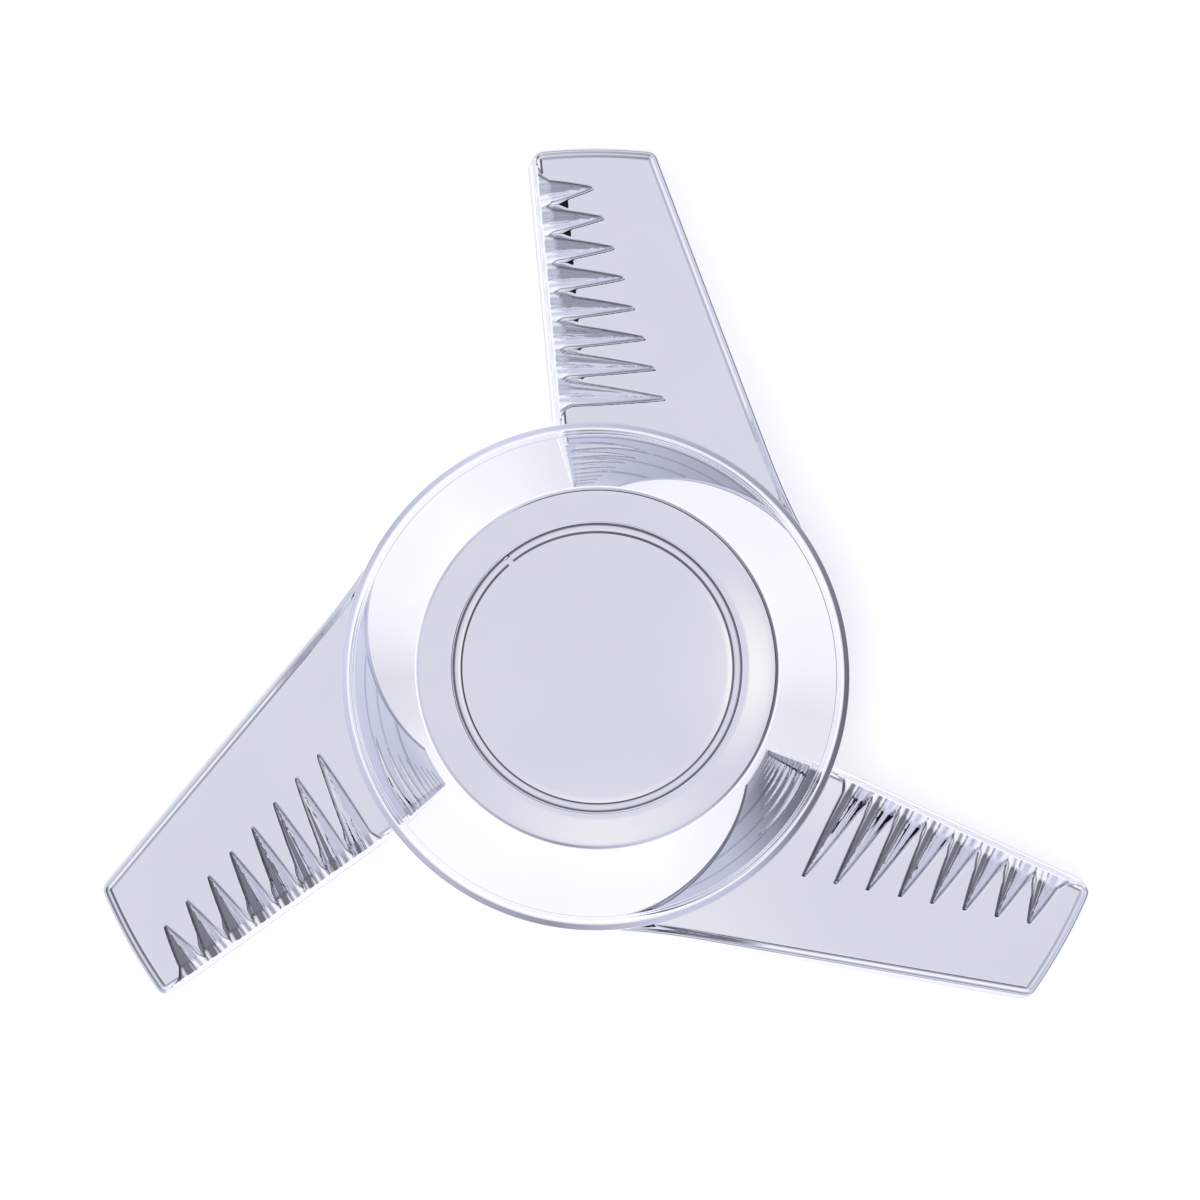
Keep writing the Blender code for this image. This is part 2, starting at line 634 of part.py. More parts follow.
def make_bush():
    """Steel bush with the internal thread and a flange that screws down on the web."""
    low = BUSH_SEAT_Z
    high = low + BUSH_LENGTH
    seat = BOSS_TOP_Z + GAP
    flange_r = BOSS_R - 3.6 * MM
    outside = [(THREAD_R + THREAD_GAP + 0.8 * MM, low), (BUSH_R, low), (BUSH_R, seat), (flange_r, seat),
               (flange_r, seat + BUSH_FLANGE_T), (BUSH_R, seat + BUSH_FLANGE_T), (BUSH_R, high),
               (THREAD_R + THREAD_GAP + 0.8 * MM, high)]
    wall = thread_rows(low + 0.8 * MM, high - 0.8 * MM, True)
    bush = turned("threaded_bush", list(reversed(outside)) + wall, THREADED)
    bm = bmesh.new()
    for angle in evenly(BUSH_SCREWS, math.radians(45.0)):
        place = Matrix.Translation(on_circle(BUSH_SCREW_PCR, angle, seat))
        revolve(bm, [(0.0, -MM), (M4_R + GAP, -MM), (M4_R + GAP, 0.9 * MM),
                     (4.1 * MM, BUSH_FLANGE_T - 0.5 * MM), (4.1 * MM, BUSH_FLANGE_T + MM),
                     (0.0, BUSH_FLANGE_T + MM)], SMALL, place)
    boolean(bush, add_cutter("bush_hole_guide", bm), 'DIFFERENCE')
    return finish(bush, STEEL, 0.3)


def make_washer():
    """Stepped thrust washer; its tang runs in the adapter's keyway, so it slides and can't turn."""
    low = FLANGE_TOP_Z + GAP
    step = low + 1.9 * MM
    high = BUSH_SEAT_Z - GAP
    bore = THREAD_R + 0.5 * MM
    body_r = WASHER_BORE_R - 2.8 * MM
    rim_r = WASHER_BORE_R - GAP
    washer = turned("thrust_washer", [(bore, low), (body_r, low), (body_r, step), (rim_r, step),
                                      (rim_r, high), (bore, high)])
    bm = bmesh.new()
    size = Matrix.Diagonal((bore - KEYWAY_R + 1.6 * MM, KEYWAY_W - 2.0 * GAP, high - low - 0.4 * MM, 1.0))
    center = Vector(((KEYWAY_R + bore + 2.4 * MM) / 2.0, 0.0, (low + high) / 2.0))
    bmesh.ops.create_cube(bm, size=1.0, matrix=Matrix.Translation(center) @ size)
    boolean(washer, add_cutter("tang_guide", bm), 'UNION')
    finish(washer, ZINC, 0.3)

    clip_low = FLANGE_TOP_Z + 1.1 * MM
    section = [(WASHER_BORE_R - 2.3 * MM, clip_low), (WASHER_BORE_R + 1.2 * MM, clip_low),
               (WASHER_BORE_R + 1.2 * MM, clip_low + 0.8 * MM),
               (WASHER_BORE_R - 2.3 * MM, clip_low + 0.8 * MM)]
    bm = bmesh.new()
    open_ring(bm, section, math.radians(8.0), math.radians(344.0), ROUND)
    finish(add_object("washer_circlip", bm), STEEL, 0.25)


def make_adapter():
    """Flange and hollow threaded stub with a keyway, fixed to the wheel over a rubber gasket."""
    low = GASKET_T + GAP
    neck = THREAD_R - THREAD_DEPTH
    neck_z = FLANGE_TOP_Z + 1.4 * MM
    edge = 0.6 * MM
    foot = [(0.0, low), (FLANGE_R - edge, low), (FLANGE_R, low + edge), (FLANGE_R, FLANGE_TOP_Z - edge),
            (FLANGE_R - edge, FLANGE_TOP_Z), (neck, FLANGE_TOP_Z)]
    bore = [(neck - 1.2 * MM, STUB_TOP_Z), (STUB_BORE_R, STUB_TOP_Z), (STUB_BORE_R, low + 3.0 * MM),
            (0.0, low + 3.0 * MM)]
    wall = thread_rows(neck_z, STUB_TOP_Z - 0.8 * MM, False)
    adapter = turned("wheel_adapter", foot + wall + bore, THREADED)
    bm = bmesh.new()
    slot = Matrix.Diagonal((8.0 * MM, KEYWAY_W, STUB_TOP_Z, 1.0))
    corner = Vector((KEYWAY_R + 4.0 * MM, 0.0, FLANGE_TOP_Z + 0.1 * MM + STUB_TOP_Z / 2.0))
    bmesh.ops.create_cube(bm, size=1.0, matrix=Matrix.Translation(corner) @ slot)
    boolean(adapter, add_cutter("keyway_guide", bm), 'DIFFERENCE')
    bm = bmesh.new()
    hole, mouth = ADAPTER_SCREW_R + 0.4 * MM, ADAPTER_SCREW_HEAD_R + 0.4 * MM
    for angle in evenly(ADAPTER_SCREWS, math.radians(90.0)):
        revolve(bm, [(0.0, -MM), (hole, -MM), (hole, FLANGE_TOP_Z - 3.6 * MM),
                     (mouth, FLANGE_TOP_Z - 0.7 * MM), (mouth, FLANGE_TOP_Z + MM),
                     (0.0, FLANGE_TOP_Z + MM)], SMALL,
                Matrix.Translation(on_circle(ADAPTER_SCREW_PCR, angle)))
    holes = add_cutter("adapter_hole_guide", bm)
    boolean(adapter, holes, 'DIFFERENCE')
    finish(adapter, STEEL, 0.28)

    gasket = turned("adapter_gasket", [(0.0, 0.0), (FLANGE_R, 0.0), (FLANGE_R, GASKET_T), (0.0, GASKET_T)])
    boolean(gasket, holes, 'DIFFERENCE')
    finish(gasket, RUBBER, 0.85, 0.0)


def parent_moving_pieces():
    """Hang everything that turns from an empty on the thread's axis."""
    pivot = bpy.data.objects.new("spinner_axis", None)
    pivot.empty_display_size = 0.02
    bpy.context.scene.collection.objects.link(pivot)
    fixed = ("wheel_adapter", "adapter_", "thrust_washer")
    for obj in bpy.context.scene.collection.objects:
        if obj.type == 'MESH' and not obj.hide_render and not obj.name.startswith(fixed):
            obj.parent = pivot


def main():
    clear_scene()
    make_casting()
    make_dome()
    make_emblem()
    make_bush()
    make_washer()
    make_adapter()
    make_dome_screws()
    make_bush_screws()
    make_lock_screws()
    make_adapter_screws()
    parent_moving_pieces()


main()
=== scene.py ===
"""Looks of the three-blade wheel spinner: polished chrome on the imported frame, in a light tent.

Lengths are millimetres in the frame's axes: the hub axis is Z, Z = 0 seats on the wheel, and one
blade points along +Y.  Blade outlines are drawn for that blade and turned for the other two.
"""

import math

import bmesh
import bpy
import numpy as np
from mathutils import Matrix, Vector


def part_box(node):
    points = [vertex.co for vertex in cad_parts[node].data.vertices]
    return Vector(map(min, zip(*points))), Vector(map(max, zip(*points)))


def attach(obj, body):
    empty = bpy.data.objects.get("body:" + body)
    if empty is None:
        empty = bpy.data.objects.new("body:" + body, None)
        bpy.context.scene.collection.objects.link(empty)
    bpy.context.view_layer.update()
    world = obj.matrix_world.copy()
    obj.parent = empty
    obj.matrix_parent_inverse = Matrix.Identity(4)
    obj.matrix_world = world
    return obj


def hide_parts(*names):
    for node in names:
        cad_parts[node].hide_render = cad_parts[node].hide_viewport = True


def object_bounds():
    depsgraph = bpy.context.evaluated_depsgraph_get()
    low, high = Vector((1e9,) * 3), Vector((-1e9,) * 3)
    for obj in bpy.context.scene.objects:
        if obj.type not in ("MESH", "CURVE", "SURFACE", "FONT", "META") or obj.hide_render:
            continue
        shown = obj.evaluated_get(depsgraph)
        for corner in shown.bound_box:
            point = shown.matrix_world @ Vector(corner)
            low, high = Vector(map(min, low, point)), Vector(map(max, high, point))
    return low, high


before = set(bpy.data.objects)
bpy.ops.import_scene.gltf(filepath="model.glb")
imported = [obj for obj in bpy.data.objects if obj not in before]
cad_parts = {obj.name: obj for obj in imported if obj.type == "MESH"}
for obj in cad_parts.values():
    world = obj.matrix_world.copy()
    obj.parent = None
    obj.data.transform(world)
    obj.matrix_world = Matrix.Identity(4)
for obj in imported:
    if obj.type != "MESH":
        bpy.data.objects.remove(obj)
cad_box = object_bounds()

MM = 0.001
TURN, QUARTER = 2.0 * math.pi, math.pi / 2.0
GAP = 0.3                           # clearance the frame keeps between touching pieces


def low(node):
    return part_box(node)[0] / MM


def high(node):
    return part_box(node)[1] / MM


# Driving sizes, read from the frame
PANEL_Z = low("hub_dome").z - GAP   # blade panels, and the dome's seat
HUB_R = high("hub_dome").x
TOP_Z = high("hub_dome").z
DRAFT = 1.0                         # blade walls spread by this much down to the back
TIP_R = high("blade_casting").y - DRAFT
CASTING_LOW = low("blade_casting").z
FLANGE_R = high("adapter_gasket").x
FLOOR_Z = cad_box[0].z / MM

# Hub dome
LIP = 0.55                          # upright lip at the dome's foot
FLARE_R = 50.7
FLARE_TOP = PANEL_Z + 4.6
CREASE_R = 35.9
CREASE_ROUND = 1.5
DOME_BULGE = math.radians(9.0)
DOME_WALL = 3.0
CROWN = 0.026                       # slope of the flat top
RECESS_R = 28.8
RECESS_FLOOR = TOP_Z - 4.7
RECESS_UNDER = RECESS_FLOOR - 2.8
PAD_T, DISC_T, RING_T = 1.0, 1.2, 0.7
RING_GROOVE = 1.4
RING_OVERHANG = 1.8                 # how far the split ring reaches in over the disc
RING_SPLIT = 1.2
RING_SPLIT_AT = math.radians(129.0)
PILLAR_R = 3.3
PILLAR_TOP = TOP_Z - 11.5

# Blade outline
FLUTED_AT = np.array((-7.76, 55.0))
FLUTED_LEAN = math.radians(4.8)
LONG_AT = np.array((15.0, 109.9))
LONG_LEAN = math.radians(19.8)
ROOT_BLEND_R = 150.0
ROOT_R = 49.0                       # blades start here, under the dome
CORNER_R = 2.4
BACK_Z = CASTING_LOW + 0.2
RIM_H = 0.9
RIM_START = 0.1                     # the rim's outer edge over the panel
RIM_CREST = 0.65                    # distance of the rim's crest from the edge
RIM_W = 2.1
POCKET_WALL = 3.6
POCKET_TOP = 3.4
POCKET_R = 58.0

# Flutes
FLUTES = 8
FLUTE_DEPTH = 1.75
FIRST_APEX = np.array((0.2, 104.6))
APEX_STEP = np.array((2.11, -6.53))
FIRST_EDGE = np.array((-10.9, 106.75))
EDGE_STEP = np.array((0.474, -6.195))
NOSE = 0.35                         # width and depth the flutes start with at their apex
EDGE_SOFT = 0.14                    # rounding of the flutes' edges
VALLEY_SOFT = 0.12                  # rounding along the bottom of a flute, part of its half width
FLANK_WAVE = 0.055                  # the flanks are lightly waved across
LEAF_SPREAD, LEAF_TAPER = 1.2, 0.28 # a flute's outline from apex to mouth, as parts of its pitch
NO_FLUTE = 1000.0                   # height of the flutes where there is none
MOUTH_W = 3.4                       # the flutes fall away toward the outer wall
MOUTH_SLOPE = 0.35
LIP_W = 1.0                         # outside the mouths, the flutes run out in one round lip
LIP_DROP = 3.7
LIP_SLOPE = 1.2
RIDGE_REACH = 7.0                   # ridges between flutes rise from here to the rim
RIDGE_SLOPE = 0.155

# Core of the casting
SKIRT_R = 53.6
SKIRT_INNER_R = 44.5
SPIGOT_R = 47.2
WEB_Z = 9.9
WEB_TOP = 15.9
BOSS_R = 34.0
BOSS_TOP = 18.9
WASHER_BORE_R = 30.0
BUSH_R = 23.0
BUSH_SEAT = 13.2
FLANGE_TOP = 9.5

BLADES = 3
ROUND = 192                         # segments of the large turned pieces
SMALL = 40
SHARP = math.radians(40.0)


# ---------------- mesh building

def unit(angle):
    return np.array((math.cos(angle), math.sin(angle)))


def evenly(count, start=0.0):
    return [start + TURN * i / count for i in range(count)]


def arc(center, radius, start, end, steps):
    """Points on an arc in a plane, both ends included."""
    return [(center[0] + radius * math.cos(start + (end - start) * i / steps),
             center[1] + radius * math.sin(start + (end - start) * i / steps))
            for i in range(steps + 1)]


class Shell:
    """Points in mm and faces of one piece while it is built from grids and loops."""

    def __init__(self):
        self.points = []
        self.faces = []
        self.count = 0

    def add(self, points, faces):
        points = np.asarray(points, float).reshape(-1, 3)
        self.points.append(points)
        self.faces += [[int(i) + self.count for i in face] for face in faces]
        self.count += len(points)

    def grid(self, points, wrap=False):
        """Quads over an array of points of shape (rows, columns, 3)."""
        rows, columns = points.shape[:2]
        index = np.arange(rows * columns).reshape(rows, columns)
        if wrap:
            index = np.hstack((index, index[:, :1]))
        quads = np.stack((index[:-1, :-1], index[:-1, 1:], index[1:, 1:], index[1:, :-1]), -1)
        self.add(points, quads.reshape(-1, 4).tolist())

    def lathe(self, rows, segments=ROUND, matrix=None):
        """Turn rows of (r, z), or of functions of the angle that give r and z, about Z.

        The profile closes on the axis if its first and last rows are there, else on itself.
        """
        angles = np.array(evenly(segments))
        rings = []
        for row in rows:
            r, z = row(angles) if callable(row) else row
            rings.append(np.stack((r * np.cos(angles), r * np.sin(angles), z + 0.0 * angles), -1))
        if callable(rows[0]) or rows[0][0] > 0.0:
            rings.append(rings[0])
        points = np.array(rings)
        if matrix is not None:
            flat = points.reshape(-1, 3) @ np.array(matrix.to_3x3()).T + np.array(matrix.translation)
            points = flat.reshape(points.shape)
        self.grid(points, wrap=True)

    def box(self, first, last):
        """A block between two opposite corners."""
        corners = [(x, y, z) for x in (first[0], last[0]) for y in (first[1], last[1])
                   for z in (first[2], last[2])]
        self.add(corners, [(0, 1, 3, 2), (4, 6, 7, 5), (0, 4, 5, 1), (2, 3, 7, 6), (0, 2, 6, 4),
                           (1, 5, 7, 3)])

    def mesh(self, name, weld=0.0008):
        """Make the mesh: weld shared points, turn faces outward, smooth all but sharp edges."""
        made = bpy.data.meshes.new(name)
        made.from_pydata((np.vstack(self.points) * MM).tolist(), [], self.faces)
        bm = bmesh.new()
        bm.from_mesh(made)
        bmesh.ops.remove_doubles(bm, verts=bm.verts, dist=weld * MM)
        bmesh.ops.recalc_face_normals(bm, faces=bm.faces)
        bm.to_mesh(made)
        bm.free()
        made.shade_smooth()
        made.set_sharp_from_angle(angle=SHARP)
        return made

    def take(self, obj):
        """Add the evaluated mesh of an object, which is in metres."""
        evaluated = obj.evaluated_get(bpy.context.evaluated_depsgraph_get())
        made = evaluated.to_mesh()
        points = np.array([tuple(obj.matrix_world @ v.co) for v in made.vertices]) / MM
        self.add(points, [tuple(p.vertices) for p in made.polygons])
        evaluated.to_mesh_clear()


def new_object(name, data):
    obj = bpy.data.objects.new(name, data)
    bpy.context.scene.collection.objects.link(obj)
    return obj


def add_piece(name, shell, body, material, stands_for, weld=0.0008):
    """Make a piece, ride it on its body and let it stand for its CAD node."""
    obj = new_object(name, shell.mesh(name, weld))
    obj.data.materials.append(material)
    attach(obj, body)
    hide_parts(stands_for)
    return obj


def cut(shell, cutters, name, operation='DIFFERENCE'):
    """Shell with the cutters' shells taken away or joined on, as a new shell."""
    block = new_object(name, shell.mesh(name))
    tool = new_object(name + "_cutter", cutters.mesh(name + "_cutter"))
    mod = block.modifiers.new("Holes", 'BOOLEAN')
    mod.operation = operation
    mod.solver = 'EXACT'
    mod.object = tool
    bpy.context.view_layer.update()
    result = Shell()
    result.take(block)
    for obj in (block, tool):
        bpy.data.objects.remove(obj, do_unlink=True)
    return result


def plug(*rows):
    """Profile of a turned cutter: (r, z) rows, closed on the axis at both ends."""
    return [(0.0, rows[0][1]), *rows, (0.0, rows[-1][1])]


def at(radius, angle, z=0.0):
    return Matrix.Translation((radius * math.cos(angle), radius * math.sin(angle), z))


def radial(angle, radius, z):
    """A frame whose Z points away from the hub axis."""
    out = Vector((math.cos(angle), math.sin(angle), 0.0))
    up = Vector((0.0, 0.0, 1.0))
    placed = Matrix((up.cross(out), up, out)).transposed().to_4x4()
    placed.translation = out * radius + up * z
    return placed


# ---------------- blade

FLUTED_OUT = unit(math.pi + FLUTED_LEAN)
FLUTED_UP = unit(QUARTER + FLUTED_LEAN)
FLUTED_D = float(FLUTED_OUT @ FLUTED_AT)
LONG_OUT = unit(LONG_LEAN)
LONG_UP = unit(QUARTER + LONG_LEAN)
LONG_D = float(LONG_OUT @ LONG_AT)

ROW_STEP = 0.26                     # spacing of the mesh rows along the fluted edge
ROWS = round((TIP_R - HUB_R) / ROW_STEP)
FLUTE_COLUMNS, PLAIN_COLUMNS = 50, 8
FLUTE_SHARE = 0.68                  # part of a row's length that flutes reach over
CORNER_STEPS = 6


def row_places():
    """Places of the rows from the root (0) to the tip corner (1): one under the dome, then even."""
    shown = (HUB_R - ROOT_R - 0.6) / (TIP_R - CORNER_R - ROOT_R)
    return np.concatenate(((0.0,), np.linspace(shown, 1.0, ROWS)))


def column_places():
    """Places of the columns from the fluted edge (0) to the long edge (1)."""
    fine = np.linspace(0.0, FLUTE_SHARE, FLUTE_COLUMNS + 1)
    return np.concatenate((fine, np.linspace(FLUTE_SHARE, 1.0, PLAIN_COLUMNS + 1)[1:]))


V, U = row_places(), column_places()


def on_line(out, up, distance, radius):
    """Point at a distance from the axis along out, on a circle about the axis."""
    return out * distance + up * math.sqrt(radius * radius - distance * distance)


def corner_centers(corner_r):
    return (on_line(FLUTED_OUT, FLUTED_UP, FLUTED_D - corner_r, TIP_R - corner_r),
            on_line(LONG_OUT, LONG_UP, LONG_D - corner_r, TIP_R - corner_r))


def fluted_side(offset, root_r, corner_r):
    start = on_line(FLUTED_OUT, FLUTED_UP, FLUTED_D + offset, root_r)
    end = corner_centers(corner_r)[0] + FLUTED_OUT * (corner_r + offset)
    return start + (end - start) * V[:, None]


def long_side(offset, root_r, corner_r):
    """The long edge: from the hub along the root blend, tangent to it, and straight to the tip."""
    end = corner_centers(corner_r)[1] + LONG_OUT * (corner_r + offset)
    if root_r > SKIRT_R:
        start = on_line(LONG_OUT, LONG_UP, LONG_D + offset, root_r)
        return start + (end - start) * V[:, None]
    reach = math.sqrt((SKIRT_R + ROOT_BLEND_R) ** 2 - (LONG_D + ROOT_BLEND_R) ** 2)
    blend = LONG_OUT * (LONG_D + ROOT_BLEND_R) + LONG_UP * reach
    turn = math.atan2(-blend[1], -blend[0]), math.atan2(-LONG_OUT[1], -LONG_OUT[0])
    tangent = blend - LONG_OUT * (ROOT_BLEND_R - offset)
    share = ROOT_BLEND_R * abs(turn[1] - turn[0])
    share /= share + np.linalg.norm(end - tangent)
    points = []
    for v in V:
        if v < share:
            angle = turn[0] + (turn[1] - turn[0]) * v / share
            points.append(blend + (ROOT_BLEND_R - offset) * unit(angle))
        else:
            points.append(tangent + (end - tangent) * (v - share) / (1.0 - share))
    points[0] = points[0] * (root_r - offset) / np.linalg.norm(points[0])
    return np.array(points)


def swing(start, end, places):
    """Points that turn about the axis from start to end, their radius running between the two."""
    first, last = math.atan2(start[1], start[0]), math.atan2(end[1], end[0])
    radii = np.linalg.norm(start) + (np.linalg.norm(end) - np.linalg.norm(start)) * places
    angles = first + (last - first) * places
    return np.stack((radii * np.cos(angles), radii * np.sin(angles)), -1)


def corner(center, radius, start, end):
    """Inner points of a corner arc that turns clockwise."""
    if end > start:
        end -= TURN
    return np.array(arc(center, radius, start, end, CORNER_STEPS))[1:-1]


def outline(offset, root_r=ROOT_R, corner_r=CORNER_R):
    """Closed outline of a blade moved outward by offset; every outline has the same count."""
    fluted, long = fluted_side(offset, root_r, corner_r), long_side(offset, root_r, corner_r)
    at_fluted, at_long = corner_centers(corner_r)
    radius = corner_r + offset
    angle_fluted = math.atan2(at_fluted[1], at_fluted[0])
    angle_long = math.atan2(at_long[1], at_long[0])
    tip = swing(at_fluted + radius * unit(angle_fluted), at_long + radius * unit(angle_long), U)
    hub = swing(long[0], fluted[0], 1.0 - U[::-1])[1:-1]
    return np.vstack((
        fluted, corner(at_fluted, radius, math.atan2(FLUTED_OUT[1], FLUTED_OUT[0]), angle_fluted),
        tip, corner(at_long, radius, angle_long, LONG_LEAN), long[::-1], hub))


def smooth_min(a, b, soft):
    mix = np.clip(0.5 + 0.5 * (b - a) / soft, 0.0, 1.0)
    return b + (a - b) * mix - soft * mix * (1.0 - mix)


def smooth_step(x):
    x = np.clip(x, 0.0, 1.0)
    return x * x * (3.0 - 2.0 * x)


def flute_height(points):
    """Height of the lowest flute over each point.

    A flute is a leaf-shaped V-groove: it widens and deepens from its apex to its mouth.  Each
    point is placed by t, 0 at the apex and 1 at the mouth, and by q, across from -1 to 1.
    """
    lowest = np.full(points.shape[:-1], NO_FLUTE)
    for i in range(FLUTES):
        apex = FIRST_APEX + i * APEX_STEP
        mouth = FIRST_EDGE + (i + 0.5) * EDGE_STEP
        axes = np.linalg.inv(np.column_stack((mouth - apex, EDGE_STEP / 2.0)))
        t, q = np.moveaxis((points - apex) @ axes.T, -1, 0)
        along = t * np.linalg.norm(mouth - apex)
        nose = np.sqrt(np.clip((along + NOSE) / NOSE, 0.0, 1.0)) * NOSE
        reach = np.clip(t, 0.0, 1.0)
        half = (LEAF_SPREAD - LEAF_TAPER * reach) * reach
        half = half + nose / (np.linalg.norm(EDGE_STEP) / 2.0) * (1.0 - reach)
        across = np.abs(q) / np.maximum(half, 1e-6)
        across = across + FLANK_WAVE * np.sin(TURN * np.clip(across, 0.0, 1.0))
        across = np.where(across < VALLEY_SOFT, (across ** 2 / VALLEY_SOFT + VALLEY_SOFT) / 2.0, across)
        groove = PANEL_Z - (FLUTE_DEPTH * reach + nose * (1.0 - reach)) * (1.0 - across)
        lowest = np.minimum(lowest, np.where(along > -NOSE, groove, NO_FLUTE))
    inside = FLUTED_D - points @ FLUTED_OUT
    lowest -= MOUTH_SLOPE * np.maximum(0.0, MOUTH_W - inside)
    share = smooth_step(1.0 - inside / LIP_W)
    lip = PANEL_Z - LIP_DROP - LIP_SLOPE * np.maximum(0.0, -inside)
    return np.where(lowest < NO_FLUTE / 2.0, lowest + (lip - lowest) * share, lowest)


def rim_height(inside):
    """Height over the panel at a distance inside the edge: wall, round crest, hollow inner foot."""
    wall = RIM_START + inside * (PANEL_Z + RIM_START - BACK_Z) / DRAFT
    across = np.clip((RIM_CREST - inside) / RIM_CREST, 0.0, 1.0)
    crest = RIM_START + (RIM_H - RIM_START) * np.sqrt(1.0 - across * across)
    foot = RIM_H * (1.0 - smooth_step((inside - RIM_CREST) / (RIM_W - RIM_CREST)))
    return np.where(inside < 0.0, wall, np.where(inside < RIM_CREST, crest, foot))


def blade_height(points, inside):
    """Height of the blade's front over points that lie a distance inside its edge."""
    rim = rim_height(inside)
    from_fluted = FLUTED_D - points @ FLUTED_OUT
    along = points @ FLUTED_UP
    first = float((FIRST_EDGE + 0.5 * EDGE_STEP) @ FLUTED_UP)
    last = float((FIRST_EDGE + (FLUTES - 0.5) * EDGE_STEP) @ FLUTED_UP)
    window = (along < first) & (along > last) & (from_fluted > RIM_CREST) & (inside > 0.0)
    ridge = np.minimum(RIDGE_SLOPE * np.maximum(0.0, RIDGE_REACH - from_fluted), RIM_H)
    base = PANEL_Z + np.where(window, np.maximum(rim, ridge), rim)
    return smooth_min(base, flute_height(points), EDGE_SOFT)


def patch(corner_loop):
    """The inner face of a blade, spread between the four sides of its innermost outline."""
    count = len(V)
    fluted = corner_loop[:count]
    tip = corner_loop[count + CORNER_STEPS - 1:][:len(U)]
    long = corner_loop[count + 2 * (CORNER_STEPS - 1) + len(U):][:count][::-1]
    hub = swing(fluted[0], long[0], U)
    u, v = U[None, :, None], V[:, None, None]
    across = (1.0 - u) * fluted[:, None] + u * long[:, None]
    around = (1.0 - v) * hub[None] + v * tip[None]
    corners = ((1.0 - u) * (1.0 - v) * fluted[0] + u * (1.0 - v) * long[0]
               + (1.0 - u) * v * fluted[-1] + u * v * long[-1])
    return across + around - corners


def lift(points, z):
    return np.concatenate((points, np.broadcast_to(z, points.shape[:-1])[..., None]), -1)


def blade_grids():
    """The wrapped loops of one blade, its front patch, and the floor of the pocket at its back."""
    pocket = [(-0.4, POCKET_TOP), (-0.1, POCKET_TOP - 0.1), (0.0, POCKET_TOP - 0.4),
              (0.0, BACK_Z + 0.25), (0.25, BACK_Z)]
    back_edge = [(DRAFT - 0.3, BACK_Z), (DRAFT - 0.08, BACK_Z + 0.08)]
    loops = [lift(outline(offset - POCKET_WALL, POCKET_R, POCKET_WALL + CORNER_R), z)
             for offset, z in pocket]
    loops += [lift(outline(offset), z) for offset, z in back_edge]
    wall = np.linspace(0.97 * DRAFT, 0.0, 9)
    crest = RIM_CREST * (1.0 - np.cos(np.linspace(0.0, QUARTER, 6)[1:]))
    foot = np.linspace(RIM_CREST, CORNER_R, 9)[1:]
    for offset in np.concatenate((wall, -crest, -foot)):
        points = outline(offset)
        loops.append(lift(points, blade_height(points, np.full(len(points), -offset))))
    front = patch(outline(-CORNER_R))
    front = lift(front, blade_height(front, np.full(front.shape[:2], CORNER_R)))
    return np.array(loops), front


def casting_profile():
    """Skirt, spigot and web as (r, z), from the skirt's inner foot round the outside."""
    clip_low, clip_high = FLANGE_TOP + 0.8, FLANGE_TOP + 2.2
    clip_r = WASHER_BORE_R + 1.5
    return ([(SKIRT_INNER_R + 0.5, CASTING_LOW)]
            + arc((SKIRT_R - 0.3, CASTING_LOW + 0.6), 0.6, -QUARTER, 0.0, 4)
            + arc((SKIRT_R - 0.4, PANEL_Z - 0.5), 0.4, 0.0, QUARTER, 4)
            + [(SPIGOT_R, PANEL_Z - 0.1), (SPIGOT_R, WEB_TOP - 0.8), (SPIGOT_R - 0.8, WEB_TOP),
               (BOSS_R + 0.8, WEB_TOP), (BOSS_R, WEB_TOP + 0.8), (BOSS_R, BOSS_TOP - 0.3),
               (BOSS_R - 0.3, BOSS_TOP), (BUSH_R + GAP, BOSS_TOP), (BUSH_R + GAP, BUSH_SEAT),
               (WASHER_BORE_R, BUSH_SEAT), (WASHER_BORE_R, clip_high), (clip_r, clip_high),
               (clip_r, clip_low), (WASHER_BORE_R, clip_low), (WASHER_BORE_R, WEB_Z + 0.4),
               (WASHER_BORE_R + 0.4, WEB_Z), (SKIRT_INNER_R - 1.2, WEB_Z),
               (SKIRT_INNER_R - 0.4, WEB_Z - 0.4), (SKIRT_INNER_R, WEB_Z - 1.2),
               (SKIRT_INNER_R, CASTING_LOW + 0.5)])


DOME_SCREW_ANGLES = evenly(6, math.radians(6.0))
DOME_SCREW_PCR = 38.0
BUSH_SCREW_ANGLES = evenly(4, math.radians(45.0))
BUSH_SCREW_PCR = 26.7
LOCK_SCREW_ANGLES = evenly(BLADES, math.radians(126.0))
LOCK_SCREW_Z = 4.6
LOCK_SCREW_R = 2.5
M4_HOLE_R = 2.3
M4_HEAD_R, M4_HEAD_SUNK = 3.8, 3.4  # counterbore of the dome's screws


def casting_core():
    core = Shell()
    core.lathe(casting_profile())
    holes = Shell()
    for angle in DOME_SCREW_ANGLES:
        sunk = WEB_Z + M4_HEAD_SUNK
        holes.lathe(plug((M4_HEAD_R, WEB_Z - 1.0), (M4_HEAD_R, sunk), (M4_HOLE_R, sunk),
                         (M4_HOLE_R, WEB_TOP + 1.0)), SMALL, at(DOME_SCREW_PCR, angle))
    for angle in BUSH_SCREW_ANGLES:
        holes.lathe(plug((M4_HOLE_R, BUSH_SEAT + 0.9), (M4_HOLE_R, BOSS_TOP + 1.0)), SMALL,
                    at(BUSH_SCREW_PCR, angle))
    for angle in LOCK_SCREW_ANGLES:
        mouth, hole = SKIRT_R + 0.1, LOCK_SCREW_R + GAP
        holes.lathe(plug((hole, SKIRT_INNER_R - 1.0), (hole, mouth - 0.4), (hole + 0.9, mouth + 0.5)),
                    SMALL, radial(angle, 0.0, LOCK_SCREW_Z))
    return cut(core, holes, "casting_core")


def line_mark(value, center, half, strength):
    """Darkness of a line where value is at center, fading over half to either side."""
    return strength * np.clip(1.0 - np.abs(value - center) / half, 0.0, 1.0)


